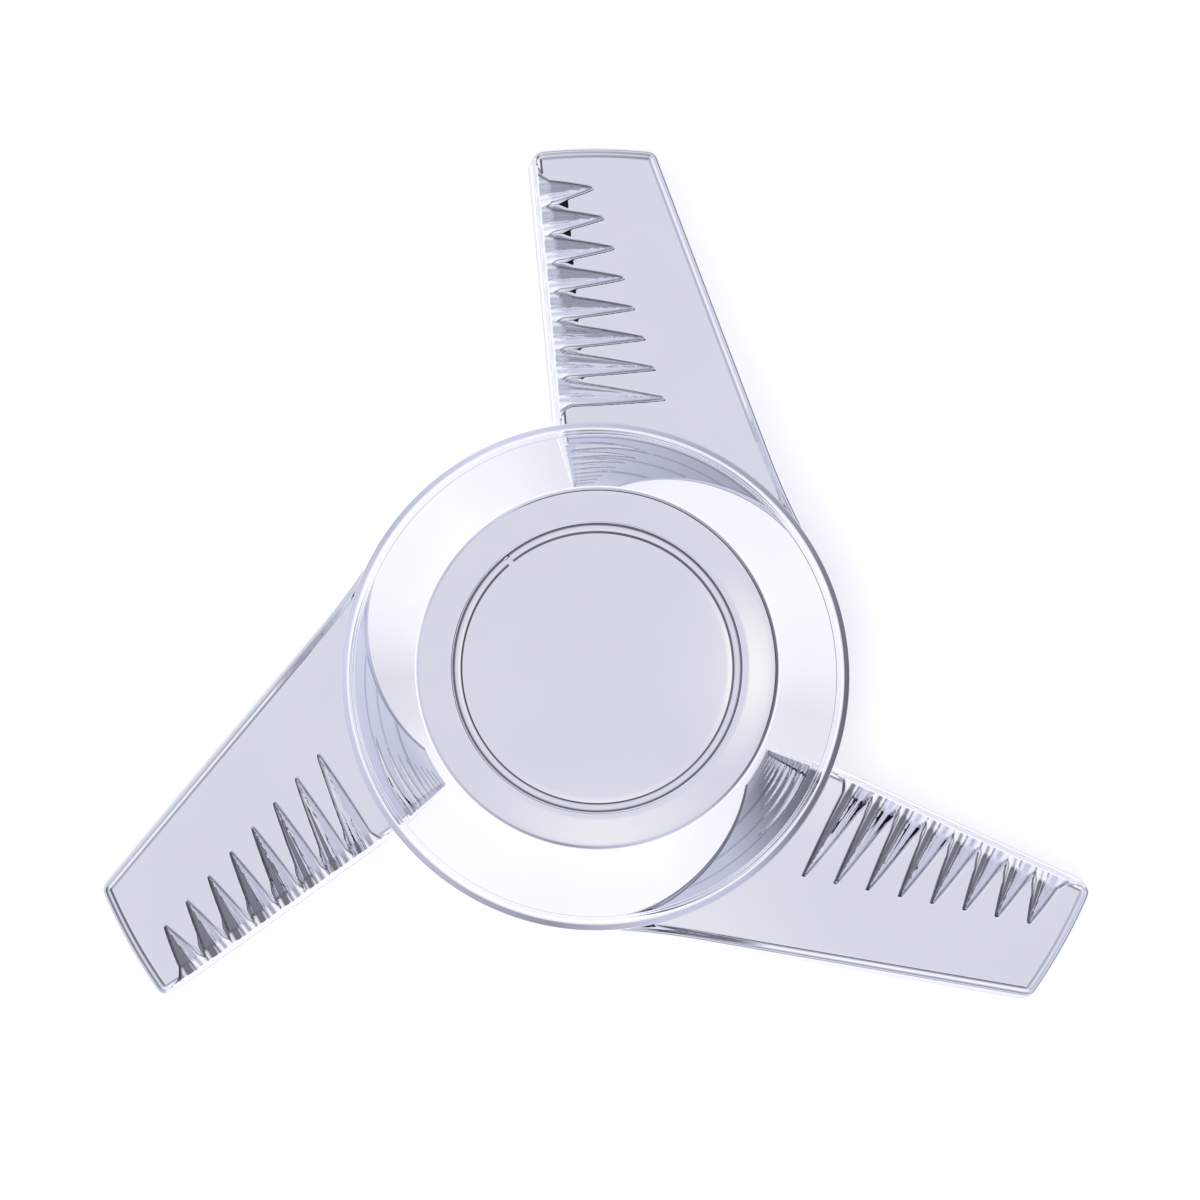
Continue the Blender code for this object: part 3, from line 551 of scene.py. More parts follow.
def paint_crease_shade(mesh):
    """Paint shade on the flutes' outlines and the foot of the rims: dark lines that stand in for the narrow
    dark reflections and shadow in these creases.
    """
    places = np.empty(3 * len(mesh.vertices))
    mesh.vertices.foreach_get("co", places)
    places = places.reshape(-1, 3) / MM
    marks = np.zeros(len(places))
    for angle in evenly(BLADES):
        flat = places[:, :2] @ np.array(Matrix.Rotation(-angle, 2)).T
        groove = flute_height(flat)
        inside = np.minimum(FLUTED_D - flat @ FLUTED_OUT, LONG_D - flat @ LONG_OUT)
        inside = np.minimum(inside, TIP_R - np.linalg.norm(flat, axis=1))
        outline_mark = line_mark(groove, PANEL_Z - EDGE_SOFT, 0.22, 0.9)
        foot_mark = line_mark(inside, RIM_W - 0.2, 0.3, 0.4)
        foot_mark = np.where(groove > PANEL_Z + 0.3, foot_mark, 0.0)
        here = (flat[:, 1] > ROOT_R) & (inside > 0.9) & (places[:, 2] > PANEL_Z - 0.8)
        marks = np.maximum(marks, np.where(here, np.maximum(outline_mark, foot_mark), 0.0))
    # painted shade: how dark each point of the crease lines is painted, read by the casting's material
    mesh.attributes.new("painted_crease_shade", 'FLOAT', 'POINT').data.foreach_set("value", marks)


def make_casting(material):
    loops, front = blade_grids()
    shell = casting_core()
    for angle in evenly(BLADES):
        turn = np.array(Matrix.Rotation(angle, 3, 'Z')).T
        shell.grid(loops @ turn, wrap=True)
        shell.grid(front @ turn)
        pocket_floor = loops[0] @ turn
        shell.add(pocket_floor, [list(range(len(pocket_floor)))])
    piece = add_piece("spinner_casting", shell, "spinner", material, "blade_casting",
                      weld=0.002)
    # paint shade along the flutes' outlines and the rims' foot
    paint_crease_shade(piece.data)


# ---------------- hub dome and emblem

def dome_side(inset, steps):
    """The dome's convex side from the flare up to the crease, moved inward."""
    foot, crease = np.array((FLARE_R, FLARE_TOP)), np.array((CREASE_R, TOP_Z))
    chord = crease - foot
    radius = np.linalg.norm(chord) / (2.0 * math.sin(DOME_BULGE))
    outward = np.array((chord[1], -chord[0])) / np.linalg.norm(chord)
    center = (foot + crease) / 2.0 - outward * radius * math.cos(DOME_BULGE)
    start = math.atan2(*(foot - center)[::-1])
    end = math.atan2(*(crease - center)[::-1])
    return arc(center, radius - inset, start, end, steps)


def crease_fillet(side):
    """Round the corner between the side's last stretch and the flat top."""
    slope = np.subtract(side[-1], side[-2])
    tilt = math.atan2(slope[1], -slope[0])             # of the side at the crease
    cut_back = CREASE_ROUND * math.tan(tilt / 2.0)
    kept = [p for p in side if math.dist(p, side[-1]) > cut_back]
    center = (side[-1][0] - cut_back, TOP_Z - CREASE_ROUND)
    return kept + arc(center, CREASE_ROUND, QUARTER - tilt, QUARTER, 8)


def dome_profile():
    seat = PANEL_Z + GAP
    lip_top = seat + LIP
    flare_start = np.array((HUB_R - 0.35, lip_top + 0.35))
    flare_mid, flare_end = np.array((FLARE_R + 0.5, lip_top + 0.9)), np.array((FLARE_R, FLARE_TOP))
    flare = [tuple((1 - t) ** 2 * flare_start + 2 * t * (1 - t) * flare_mid + t * t * flare_end)
             for t in np.linspace(0.0, 1.0, 15)]
    foot = ([(HUB_R - 0.2, seat), (HUB_R, seat + 0.15)]
            + arc((HUB_R - 0.35, lip_top), 0.35, 0.0, QUARTER, 4)[:-1])
    top = crease_fillet(dome_side(0.0, 40)[1:])
    groove_low = RECESS_FLOOR + GAP + PAD_T + GAP + DISC_T
    groove_high = groove_low + 2.0 * GAP + RING_T
    edge = 0.4
    annulus = [(r, TOP_Z + (CREASE_R - r) * CROWN) for r in (34.0, 32.0, 30.5)]
    rise = (CREASE_R - RECESS_R - edge) * CROWN
    recess = (arc((RECESS_R + edge, TOP_Z + rise - edge), edge, QUARTER, math.pi, 6)
              + [(RECESS_R, groove_high), (RECESS_R + RING_GROOVE, groove_high),
                 (RECESS_R + RING_GROOVE, groove_low), (RECESS_R, groove_low),
                 (RECESS_R, RECESS_FLOOR), (0.0, RECESS_FLOOR)])
    collar = RECESS_R + RING_GROOVE + 1.7
    under = [(0.0, RECESS_UNDER), (collar, RECESS_UNDER), (collar, TOP_Z - DOME_WALL)]
    socket_z = WEB_TOP + 0.6
    inside = [p for p in reversed(dome_side(DOME_WALL, 16))
              if collar < p[0] < SPIGOT_R and socket_z < p[1] < TOP_Z - DOME_WALL]
    spigot = [(SPIGOT_R + GAP, socket_z), (SPIGOT_R + GAP, seat)]
    return list(reversed(under + inside + spigot)) + foot + flare + top + annulus + recess


def make_dome(material):
    shell = Shell()
    profile = dome_profile()
    start = profile.index((0.0, RECESS_UNDER))
    shell.lathe(profile[start:] + profile[:start])
    for angle in DOME_SCREW_ANGLES:
        foot = WEB_TOP + GAP
        pillar = [(M4_HOLE_R, foot), (PILLAR_R - 0.3, foot), (PILLAR_R, foot + 0.3),
                  (PILLAR_R, PILLAR_TOP), (M4_HOLE_R, PILLAR_TOP)]
        shell.lathe(pillar, SMALL, at(DOME_SCREW_PCR, angle))
    add_piece("dome_shell", shell, "spinner", material, "hub_dome")


def make_disc(material):
    top, bottom, radius = high("emblem_disc").z, low("emblem_disc").z, high("emblem_disc").x
    edge = 0.3
    shell = Shell()
    shell.lathe([(0.0, bottom), (radius - edge, bottom), (radius, bottom + edge)]
                + arc((radius - edge, top - edge), edge, 0.0, QUARTER, 5)
                + [(radius * s, top) for s in (0.9, 0.6, 0.3)] + [(0.0, top)])
    add_piece("mirror_disc", shell, "spinner", material, "emblem_disc")


def open_ring(section, start, sweep, steps):
    """Sweep a closed section of (r, z) points part of the way round Z, with both ends closed."""
    angles = start + sweep * np.linspace(0.0, 1.0, steps + 1)
    section = np.array(section)
    points = np.empty((steps + 1, len(section), 3))
    points[..., 0] = section[:, 0] * np.cos(angles)[:, None]
    points[..., 1] = section[:, 0] * np.sin(angles)[:, None]
    points[..., 2] = section[:, 1]
    shell = Shell()
    shell.grid(points, wrap=True)
    for end in (points[0], points[-1]):
        shell.add(end, [list(range(len(section)))])
    return shell


def rounded_box(inner, outer, bottom, top, edge):
    """Section of a flat ring with rounded corners."""
    return (arc((outer - edge, bottom + edge), edge, -QUARTER, 0.0, 4)
            + arc((outer - edge, top - edge), edge, 0.0, QUARTER, 4)
            + arc((inner + edge, top - edge), edge, QUARTER, 2.0 * QUARTER, 4)
            + arc((inner + edge, bottom + edge), edge, 2.0 * QUARTER, 3.0 * QUARTER, 4))


def make_ring(material):
    """Split ring that holds the disc; its gap shows at the upper left."""
    inner, outer = RECESS_R - RING_OVERHANG, RECESS_R + RING_GROOVE - GAP
    gap = math.asin(RING_SPLIT / 2.0 / inner)
    section = rounded_box(inner, outer, low("emblem_ring").z, high("emblem_ring").z, 0.2)
    shell = open_ring(section, RING_SPLIT_AT + gap, TURN - 2.0 * gap, ROUND)
    add_piece("split_ring", shell, "spinner", material, "emblem_ring")


# ---------------- bush, washer, adapter, screws

PITCH, THREAD_R, THREAD_DEPTH, THREAD_GAP = 3.0, 18.0, 1.5, 0.45
STUB_TOP = 24.4
BUSH_TOP = BUSH_SEAT + 14.4
BUSH_FLANGE_T = 3.0
GASKET_T = 1.5
STUB_BORE_R = 10.5
KEYWAY_W, KEYWAY_R = 6.0, 14.6
ADAPTER_SCREW_ANGLES = evenly(5, math.radians(90.0))
ADAPTER_SCREW_PCR = 36.5
ADAPTER_SCREW_R = 3.0
FINE = 120                          # segments of the large threaded pieces


def wave(angles, z, pitch):
    """Thread height from root (0) to crest (1), with narrow flats on both."""
    return np.clip(0.5 + 0.65 * np.cos(TURN * z / pitch - angles), 0.0, 1.0)


def thread_rows(z0, z1, pitch, per_turn, radius_of):
    """Rows of a threaded wall; the thread dies away over one pitch at each end."""
    rows = []
    for z in np.linspace(z0, z1, round(abs(z1 - z0) / pitch * per_turn) + 1):
        fade = min(1.0, abs(z - z0) / pitch, abs(z1 - z) / pitch)
        rows.append(lambda angles, z=z, fade=fade: (radius_of(fade, wave(angles, z, pitch)), z))
    return rows


def hexagon(corner_r, z):
    """Row of a hexagonal wall."""
    third = math.pi / 3.0
    return lambda angles: (corner_r * math.cos(third / 2.0) / np.cos(angles % third - third / 2.0), z)


def make_screw(name, body, material, matrix, shank, head, socket):
    """A screw along its local Z, head up: shank is (r, tip z, top z, pitch), head is (r, z) rows."""
    radius, tip, top, pitch = shank
    depth = 0.6 * pitch
    rows = [(0.0, tip), (radius - 0.8 * depth - 0.1, tip)]
    rows += thread_rows(tip + 0.7 * depth, top, pitch, 7,
                        lambda fade, crest: radius - depth * (1.0 - fade * crest))
    rows += head
    edge = 0.15
    corner_r, sunk = socket
    rows += [hexagon(corner_r + edge, head[-1][1]), hexagon(corner_r, head[-1][1] - edge),
             hexagon(corner_r, head[-1][1] - sunk), (0.0, head[-1][1] - sunk - 0.4)]
    shell = Shell()
    shell.lathe(rows, 36, matrix)
    add_piece(name, shell, body, material, name.replace("fine_", ""))


def make_screws(zinc, oxide):
    for i, angle in enumerate(DOME_SCREW_ANGLES):
        place = at(DOME_SCREW_PCR, angle, WEB_Z + 0.2) @ Matrix.Rotation(math.pi, 4, 'X')
        make_screw("fine_dome_screw_%d" % (i + 1), "spinner", oxide, place,
                   (2.0, -12.4, -3.4, 0.7), [(2.0, -3.2), (2.1, -2.8), (3.5, -2.8), (3.5, -0.4),
                                             (3.38, -0.12), (3.1, 0.0)], (1.75, 1.6))
    top = BOSS_TOP + GAP + BUSH_FLANGE_T - 0.1
    for i, angle in enumerate(BUSH_SCREW_ANGLES):
        make_screw("fine_bush_screw_%d" % (i + 1), "spinner", zinc,
                   at(BUSH_SCREW_PCR, angle, top), (2.0, -7.3, -2.1, 0.7),
                   [(2.0, -1.9), (3.6, -0.3), (3.6, -0.1), (3.5, 0.0)], (1.45, 1.2))
    for i, angle in enumerate(LOCK_SCREW_ANGLES):
        make_screw("fine_lock_screw_%d" % (i + 1), "spinner", oxide,
                   radial(angle, FLANGE_R + GAP + 8.0, LOCK_SCREW_Z),
                   (LOCK_SCREW_R, -8.0, -0.7, 0.8), [(LOCK_SCREW_R - 0.1, -0.5), (LOCK_SCREW_R - 0.4, 0.0)],
                   (1.45, 2.4))
    top = FLANGE_TOP - 0.3
    for i, angle in enumerate(ADAPTER_SCREW_ANGLES):
        make_screw("fine_adapter_screw_%d" % (i + 1), "adapter", zinc,
                   at(ADAPTER_SCREW_PCR, angle, top), (ADAPTER_SCREW_R, FLOOR_Z - top, -3.5, 1.0),
                   [(ADAPTER_SCREW_R, -3.3), (5.9, -0.4), (5.9, -0.12), (5.78, 0.0)], (2.3, 2.2))


def make_bush(material):
    low_z, seat = BUSH_SEAT, BOSS_TOP + GAP
    flange_r, sink_r = BOSS_R - 3.6, 4.1
    inner = THREAD_R + THREAD_GAP
    outside = [(inner + 0.8, low_z), (BUSH_R - 0.3, low_z), (BUSH_R, low_z + 0.3), (BUSH_R, seat),
               (flange_r, seat), (flange_r, seat + BUSH_FLANGE_T - 0.4),
               (flange_r - 0.4, seat + BUSH_FLANGE_T), (BUSH_R, seat + BUSH_FLANGE_T),
               (BUSH_R, BUSH_TOP - 0.4), (BUSH_R - 0.4, BUSH_TOP), (inner + 0.8, BUSH_TOP)]
    wall = thread_rows(low_z + 0.8, BUSH_TOP - 0.8, PITCH, 14,
                       lambda fade, crest: inner - THREAD_DEPTH * fade * (1.0 - crest))
    shell, holes = Shell(), Shell()
    shell.lathe(outside[::-1] + wall, FINE)
    for angle in BUSH_SCREW_ANGLES:
        holes.lathe(plug((M4_HOLE_R, seat - 1.0), (M4_HOLE_R, seat + 0.9),
                         (sink_r, seat + BUSH_FLANGE_T - 0.5), (sink_r, seat + BUSH_FLANGE_T + 1.0)),
                    SMALL, at(BUSH_SCREW_PCR, angle))
    shell = cut(shell, holes, "bush_block")
    add_piece("fine_bush", shell, "spinner", material, "threaded_bush")


def make_washer(zinc, steel):
    low_z, high_z = FLANGE_TOP + GAP, BUSH_SEAT - GAP
    step, bore = low_z + 1.9, THREAD_R + 0.5
    body_r, rim_r = WASHER_BORE_R - 2.8, WASHER_BORE_R - GAP
    edge = 0.25
    shell, tang = Shell(), Shell()
    shell.lathe([(bore + edge, low_z), (body_r - edge, low_z), (body_r, low_z + edge), (body_r, step),
                 (rim_r - edge, step), (rim_r, step + edge), (rim_r, high_z - edge),
                 (rim_r - edge, high_z), (bore + edge, high_z), (bore, high_z - edge),
                 (bore, low_z + edge)])
    half = KEYWAY_W / 2.0 - GAP
    tang.box((KEYWAY_R + 0.4, -half, low_z + 0.2), (bore + 2.0, half, high_z - 0.2))
    shell = cut(shell, tang, "washer_block", 'UNION')
    add_piece("fine_washer", shell, "washer", zinc, "thrust_washer")
    section = rounded_box(WASHER_BORE_R - 2.3, WASHER_BORE_R + 1.2, low("washer_circlip").z,
                          high("washer_circlip").z, 0.15)
    clip = open_ring(section, math.radians(8.0), math.radians(344.0), ROUND)
    add_piece("fine_circlip", clip, "spinner", steel, "washer_circlip")


def make_adapter(steel, rubber_material):
    low_z = GASKET_T + GAP
    neck, edge = THREAD_R - THREAD_DEPTH, 0.6
    foot = ([(0.0, low_z), (20.0, low_z)]
            + arc((FLANGE_R - edge, low_z + edge), edge, -QUARTER, 0.0, 4)
            + arc((FLANGE_R - edge, FLANGE_TOP - edge), edge, 0.0, QUARTER, 4)
            + [(neck + 0.5, FLANGE_TOP), (neck + 0.1, FLANGE_TOP + 0.1), (neck, FLANGE_TOP + 0.5)])
    wall = thread_rows(FLANGE_TOP + 1.4, STUB_TOP - 0.8, PITCH, 14,
                       lambda fade, crest: THREAD_R - THREAD_DEPTH * (1.0 - fade * crest))
    bore = [(neck - 0.8, STUB_TOP), (STUB_BORE_R + 0.4, STUB_TOP), (STUB_BORE_R, STUB_TOP - 0.4),
            (STUB_BORE_R, low_z + 3.0), (0.0, low_z + 3.0)]
    shell, holes = Shell(), Shell()
    shell.lathe(foot + wall + bore, FINE)
    hole, mouth = ADAPTER_SCREW_R + 0.4, 6.3
    for angle in ADAPTER_SCREW_ANGLES:
        holes.lathe(plug((hole, -1.0), (hole, FLANGE_TOP - 3.6), (mouth, FLANGE_TOP - 0.7),
                         (mouth, FLANGE_TOP + 1.0)), SMALL, at(ADAPTER_SCREW_PCR, angle))
    shell = cut(shell, holes, "adapter_block")
    keyway = Shell()
    half = KEYWAY_W / 2.0
    keyway.box((KEYWAY_R, -half, FLANGE_TOP + 0.1), (KEYWAY_R + 8.0, half, STUB_TOP + 9.0))
    shell = cut(shell, keyway, "adapter_stub")
    add_piece("fine_adapter", shell, "adapter", steel, "wheel_adapter")
    gasket = Shell()
    gasket.lathe([(0.0, 0.0), (20.0, 0.0), (FLANGE_R - 0.3, 0.0), (FLANGE_R, 0.3),
                  (FLANGE_R, GASKET_T - 0.3), (FLANGE_R - 0.3, GASKET_T), (0.0, GASKET_T)])
    gasket = cut(gasket, holes, "gasket_block")
    add_piece("fine_gasket", gasket, "adapter", rubber_material, "adapter_gasket")


# ---------------- materials

def color_ramp(tree, value, stops):
    """Colours that change evenly between (place, colour) stops, places from 0 to 1."""
    node = tree.nodes.new("ShaderNodeValToRGB")
    elements = node.color_ramp.elements
    elements.remove(elements[1])
    for i, (place, color) in enumerate(stops):
        element = elements[0] if i == 0 else elements.new(place)
        element.position = place
        element.color = (*color, 1.0)
    tree.links.new(value, node.inputs["Fac"])
    return node.outputs["Color"]


def map_range(tree, value, *limits, shape='LINEAR'):
    """Map a value from between the first two limits to between the last two."""
    node = tree.nodes.new("ShaderNodeMapRange")
    node.interpolation_type = shape
    for name, number in zip(("From Min", "From Max", "To Min", "To Max"), limits):
        node.inputs[name].default_value = number
    tree.links.new(value, node.inputs["Value"])
    return node.outputs["Result"]


def mix_colors(tree, factor, first, second):
    """Mix two colours, each a socket or a plain colour."""
    node = tree.nodes.new("ShaderNodeMix")
    node.data_type = 'RGBA'
    tree.links.new(factor, node.inputs["Factor"])
    for socket, value in zip([s for s in node.inputs if s.type == 'RGBA'], (first, second)):
        if isinstance(value, tuple):
            socket.default_value = (*value, 1.0)
        else:
            tree.links.new(value, socket)
    return [s for s in node.outputs if s.type == 'RGBA'][0]


class Nodes:
    """Small helper that adds nodes to a material and links them."""

    def __init__(self, name):
        self.material = bpy.data.materials.new(name)
        self.material.use_nodes = True
        self.tree = self.material.node_tree
        self.shader = self.tree.nodes["Principled BSDF"]
        self.place = self.add("ShaderNodeTexCoord").outputs["Object"]

    def add(self, kind, **values):
        node = self.tree.nodes.new(kind)
        for key, value in values.items():
            if key in node.inputs:
                node.inputs[key].default_value = value
            else:
                setattr(node, key, value)
        return node

    def link(self, source, target):
        self.tree.links.new(source, target)
        return source

    def noise(self, scale, detail):
        node = self.add("ShaderNodeTexNoise", Scale=scale, Detail=detail)
        self.link(self.place, node.inputs["Vector"])
        return node.outputs["Fac"]

    def color(self, value, first, last):
        ramp = color_ramp(self.tree, value, [(0.0, first), (1.0, last)])
        self.base = self.link(ramp, self.shader.inputs["Base Color"])

    def paint_shade(self, factor, color):
        """Mix a colour over the base colour by a factor; here it paints shade."""
        mixed = mix_colors(self.tree, factor, self.base, color)
        self.base = self.link(mixed, self.shader.inputs["Base Color"])

    def radius(self):
        """Distance from the hub axis, in metres."""
        flat = self.add("ShaderNodeVectorMath", operation='MULTIPLY')
        flat.inputs[1].default_value = (1.0, 1.0, 0.0)
        self.link(self.place, flat.inputs[0])
        length = self.add("ShaderNodeVectorMath", operation='LENGTH')
        self.link(flat.outputs["Vector"], length.inputs[0])
        return length.outputs["Value"]

    def radius_band(self, start, peak, end):
        """1 at the radius of the peak, 0 at start and end, in mm."""
        radius = self.radius()
        node = self.add("ShaderNodeMath", operation='MINIMUM')
        rise = map_range(self.tree, radius, start * MM, peak * MM, 0.0, 1.0)
        fall = map_range(self.tree, radius, peak * MM, end * MM, 1.0, 0.0)
        self.link(rise, node.inputs[0])
        self.link(fall, node.inputs[1])
        return node.outputs[0]

    def roughness(self, value, low_out, high_out):
        self.link(map_range(self.tree, value, 0.3, 0.7, low_out, high_out),
                  self.shader.inputs["Roughness"])

    def bump(self, value, height):
        """height is in metres."""
        node = self.add("ShaderNodeBump", Strength=1.0, Distance=height)
        self.link(value, node.inputs["Height"])
        self.link(node.outputs["Normal"], self.shader.inputs["Normal"])

    def rings(self, pitch):
        """Fine turning marks: noise that changes with the distance from the hub axis."""
        node = self.add("ShaderNodeTexNoise", noise_dimensions='1D', Scale=1.0 / (pitch * MM), Detail=2.0)
        self.link(self.radius(), node.inputs["W"])
        return node.outputs["Fac"]


def grained(name, metallic, color, rough, bump):
    """Noise for the colour, roughness and bump; each starts with its noise's scale and detail."""
    nodes = Nodes(name)
    nodes.shader.inputs["Metallic"].default_value = metallic
    nodes.color(nodes.noise(*color[:2]), *color[2:])
    nodes.roughness(nodes.noise(*rough[:2]), *rough[2:])
    nodes.bump(nodes.noise(*bump[:2]), bump[2] * MM)
    return nodes


def chrome(name, ripple, rough=(0.012, 0.045)):
    """Bright plating: faint ripples, haze that comes and goes, hardly any colour."""
    return grained(name, 1.0, (38.0, 4.0, (0.90, 0.91, 0.94), (0.955, 0.96, 0.98)),
                   (160.0, 6.0, *rough), (85.0, 2.0, ripple))


SHADOW = (0.035, 0.04, 0.06)        # painted shade in creases and crevices, in place of their dark reflections and shadow
# Painted shade: dark bands on the split ring at these radii (start, darkest, end, in mm), where its
# crevices fall in shade
RING_SHADE_BANDS = ((26.7, 27.1, 27.45), (28.2, 28.6, 29.0))


def turned_steel(name):
    nodes = Nodes(name)
    nodes.shader.inputs["Metallic"].default_value = 1.0
    nodes.color(nodes.noise(60.0, 6.0), (0.50, 0.51, 0.53), (0.66, 0.67, 0.69))
    marks = nodes.rings(0.18)
    nodes.roughness(marks, 0.18, 0.34)
    nodes.bump(marks, 0.004 * MM)
    return nodes


def plated_zinc(name):
    return grained(name, 1.0, (220.0, 8.0, (0.50, 0.51, 0.50), (0.70, 0.71, 0.72)),
                   (400.0, 5.0, 0.26, 0.44), (900.0, 4.0, 0.004))


def black_oxide(name):
    return grained(name, 0.85, (300.0, 6.0, (0.018, 0.018, 0.021), (0.055, 0.055, 0.06)),
                   (500.0, 4.0, 0.32, 0.52), (1200.0, 3.0, 0.003))


def rubber(name):
    return grained(name, 0.0, (260.0, 8.0, (0.018, 0.018, 0.019), (0.042, 0.042, 0.043)),
                   (700.0, 4.0, 0.62, 0.82), (1500.0, 5.0, 0.02))


def foam(name):
    return grained(name, 0.0, (900.0, 8.0, (0.07, 0.07, 0.075), (0.16, 0.16, 0.17)),
                   (900.0, 2.0, 0.85, 0.98), (1800.0, 4.0, 0.05))


def repaint(node, material):
    """Give a carried-over CAD node its finished material."""
    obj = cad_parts[node]
    obj.data.materials.clear()
    obj.data.materials.append(material)


# ---------------- studio

# Camera and lamp are in metres
CAMERA_AT = Vector((-0.00813, -0.02609, 0.53582))
CAMERA_AIM = Vector((-0.01184, 0.01596, 0.008))
CAMERA_SHIFT = 0.0513
CAMERA_UP = Vector((0.00924, 0.9968, 0.0794))


FLOOR_R = 1500.0
LAMP_AT = Vector((-0.5, -0.4, 1.1))


def make_camera():
    data = bpy.data.cameras.new("camera")
    data.lens = 75.0
    data.sensor_width = 36.0
    data.shift_x = CAMERA_SHIFT
    data.clip_start, data.clip_end = 0.01, 20.0
    obj = new_object("camera", data)
    back = (CAMERA_AT - CAMERA_AIM).normalized()
    side = CAMERA_UP.cross(back).normalized()
    turn = Matrix((side, back.cross(side), back)).transposed().to_4x4()
    obj.matrix_world = Matrix.Translation(CAMERA_AT) @ turn
    bpy.context.scene.camera = obj


def stage_paper(name, rows, nodes):
    """A turned sheet of paper that is part of the studio."""
    shell = Shell()
    shell.lathe(rows, 96)
    paper = new_object(name, shell.mesh(name))
    paper.data.materials.append(nodes.material)
    return paper


def make_floor():
    """A plain pale floor that the adapter's screws stand on."""
    low_z = FLOOR_Z - 4.0
    nodes = Nodes("studio_paper")
    nodes.color(nodes.noise(25.0, 5.0), (0.93, 0.93, 0.94), (0.95, 0.95, 0.95))
    nodes.roughness(nodes.noise(60.0, 3.0), 0.75, 0.85)
    nodes.shader.inputs["Emission Color"].default_value = (1.0, 1.0, 1.0, 1.0)
    nodes.shader.inputs["Emission Strength"].default_value = 0.42
    stage_paper("studio_floor", [(0.0, FLOOR_Z), (400.0, FLOOR_Z), (FLOOR_R, FLOOR_Z), (FLOOR_R, low_z),
                                 (0.0, low_z)], nodes)


def by_bearing(greys, tint):
    """Stops for color_ramp from (bearing in degrees, grey) pairs."""
    return [(angle / 360.0 + 0.5, tuple(grey * c for c in tint)) for angle, grey in greys]


# Painted shade of the table round the object, by bearing, as the side of the dome mirrors it: the sheet
# glows in these greys in place of shadows on the table
TABLE_SHADE_GREYS = ((-180.0, 0.72), (-168.0, 0.74), (-156.0, 0.90), (-140.0, 1.0), (-70.0, 1.0), (-28.0, 0.84),
               (-10.0, 0.82), (2.0, 0.93), (24.0, 1.0), (50.0, 0.94), (70.0, 0.92), (98.0, 0.80),
               (112.0, 0.92), (130.0, 1.0), (156.0, 0.97), (168.0, 0.88), (180.0, 0.72))
TABLE_TINT = (0.985, 0.985, 1.05)
SHEET_INNER_R, SHEET_OUTER_R = 58.0, 210.0


def make_table_shade_sheet():
    """A soft grey sheet on the table that only the chrome mirrors; it glows in greys by bearing, a painted
    reflection of shade on the table.
    """
    low_z, high_z = FLOOR_Z + 0.5, FLOOR_Z + 1.0
    nodes = Nodes("table_shade_paper")
    nodes.color(nodes.noise(25.0, 5.0), (0.02, 0.02, 0.02), (0.03, 0.03, 0.03))
    bearing = nodes.add("ShaderNodeTexGradient", gradient_type='RADIAL')
    nodes.link(nodes.place, bearing.inputs["Vector"])
    greys = color_ramp(nodes.tree, bearing.outputs["Fac"], by_bearing(TABLE_SHADE_GREYS, TABLE_TINT))
    # painted reflection: the sheet glows in the table's shade greys instead of being lit
    nodes.link(greys, nodes.shader.inputs["Emission Color"])
    nodes.shader.inputs["Emission Strength"].default_value = 1.0
    sheet = stage_paper("painted_table_shade", [(SHEET_INNER_R, high_z), (SHEET_OUTER_R, high_z),
                                             (SHEET_OUTER_R, low_z), (SHEET_INNER_R, low_z)], nodes)
    sheet.visible_camera = sheet.visible_diffuse = sheet.visible_shadow = False


class Sky:
    """Node maths for the light tent, as a function of direction."""

    def __init__(self):
        self.world = bpy.data.worlds.new("light_tent")
        self.world.use_nodes = True
        self.tree = self.world.node_tree
        self.tree.nodes.clear()
        where = self.tree.nodes.new("ShaderNodeTexCoord").outputs["Generated"]
        split = self.tree.nodes.new("ShaderNodeSeparateXYZ")
        self.tree.links.new(where, split.inputs[0])
        self.x, self.y, self.z = split.outputs

    def math(self, operation, *values):
        node = self.tree.nodes.new("ShaderNodeMath")
        node.operation = operation
        for socket, value in zip(node.inputs, values):
            if isinstance(value, (int, float)):
                socket.default_value = value
            else:
                self.tree.links.new(value, socket)
        return node.outputs[0]

    def degrees(self, value):
        return self.math('MULTIPLY', value, 180.0 / math.pi)

    def band(self, value, start, end):
        """Smooth from 0 at start to 1 at end; start may be above end."""
        out = (0.0, 1.0) if start < end else (1.0, 0.0)
        return map_range(self.tree, value, min(start, end), max(start, end), *out, shape='SMOOTHSTEP')

    def mix(self, factor, first, second):
        return mix_colors(self.tree, factor, first, second)


TENT_TOP = (0.722, 0.732, 0.822)    # the cloth over the camera, seen in every flat face
TENT_LOW = (0.97, 0.985, 1.05)
# Grey of the tent half way down, by bearing: its dark side lies toward +X, a lesser one toward -Y
TENT_GREYS = ((-180.0, 0.72), (-155.0, 0.66), (-130.0, 0.55), (-100.0, 0.36), (-72.0, 0.70),
              (-52.0, 0.62), (-32.0, 0.22), (0.0, 0.17), (26.0, 0.24), (48.0, 0.42), (66.0, 0.50),
              (88.0, 0.66), (112.0, 0.78), (140.0, 0.60), (165.0, 0.76), (180.0, 0.72))
COOL = (0.94, 0.97, 1.18)           # tint of the greys
# Seams of the cloth: zenith, half width, depth
SEAMS = ((35.5, 0.8, 0.6), (44.5, 0.7, 0.45), (52.0, 0.6, 0.45), (60.0, 0.8, 0.5))
TENT_BANDS = ((17.0, 34.0), (62.0, 80.0))    # zeniths where top turns to greys, greys to low
CARD = (0.012, 0.012, 0.015)        # dark card beyond the object, toward +X +Y
CARD_BEARINGS = ((-22.0, -10.0), (118.0, 104.0))
CARD_ZENITHS = ((17.0, 19.0), (32.0, 28.0))
BACKDROP = (1.0, 1.0, 1.0)
# Bright patches in the top cloth: direction, size, strength
PATCHES = (((0.125, 0.05), 0.085, 0.95), ((0.02, -0.085), 0.11, 0.6))


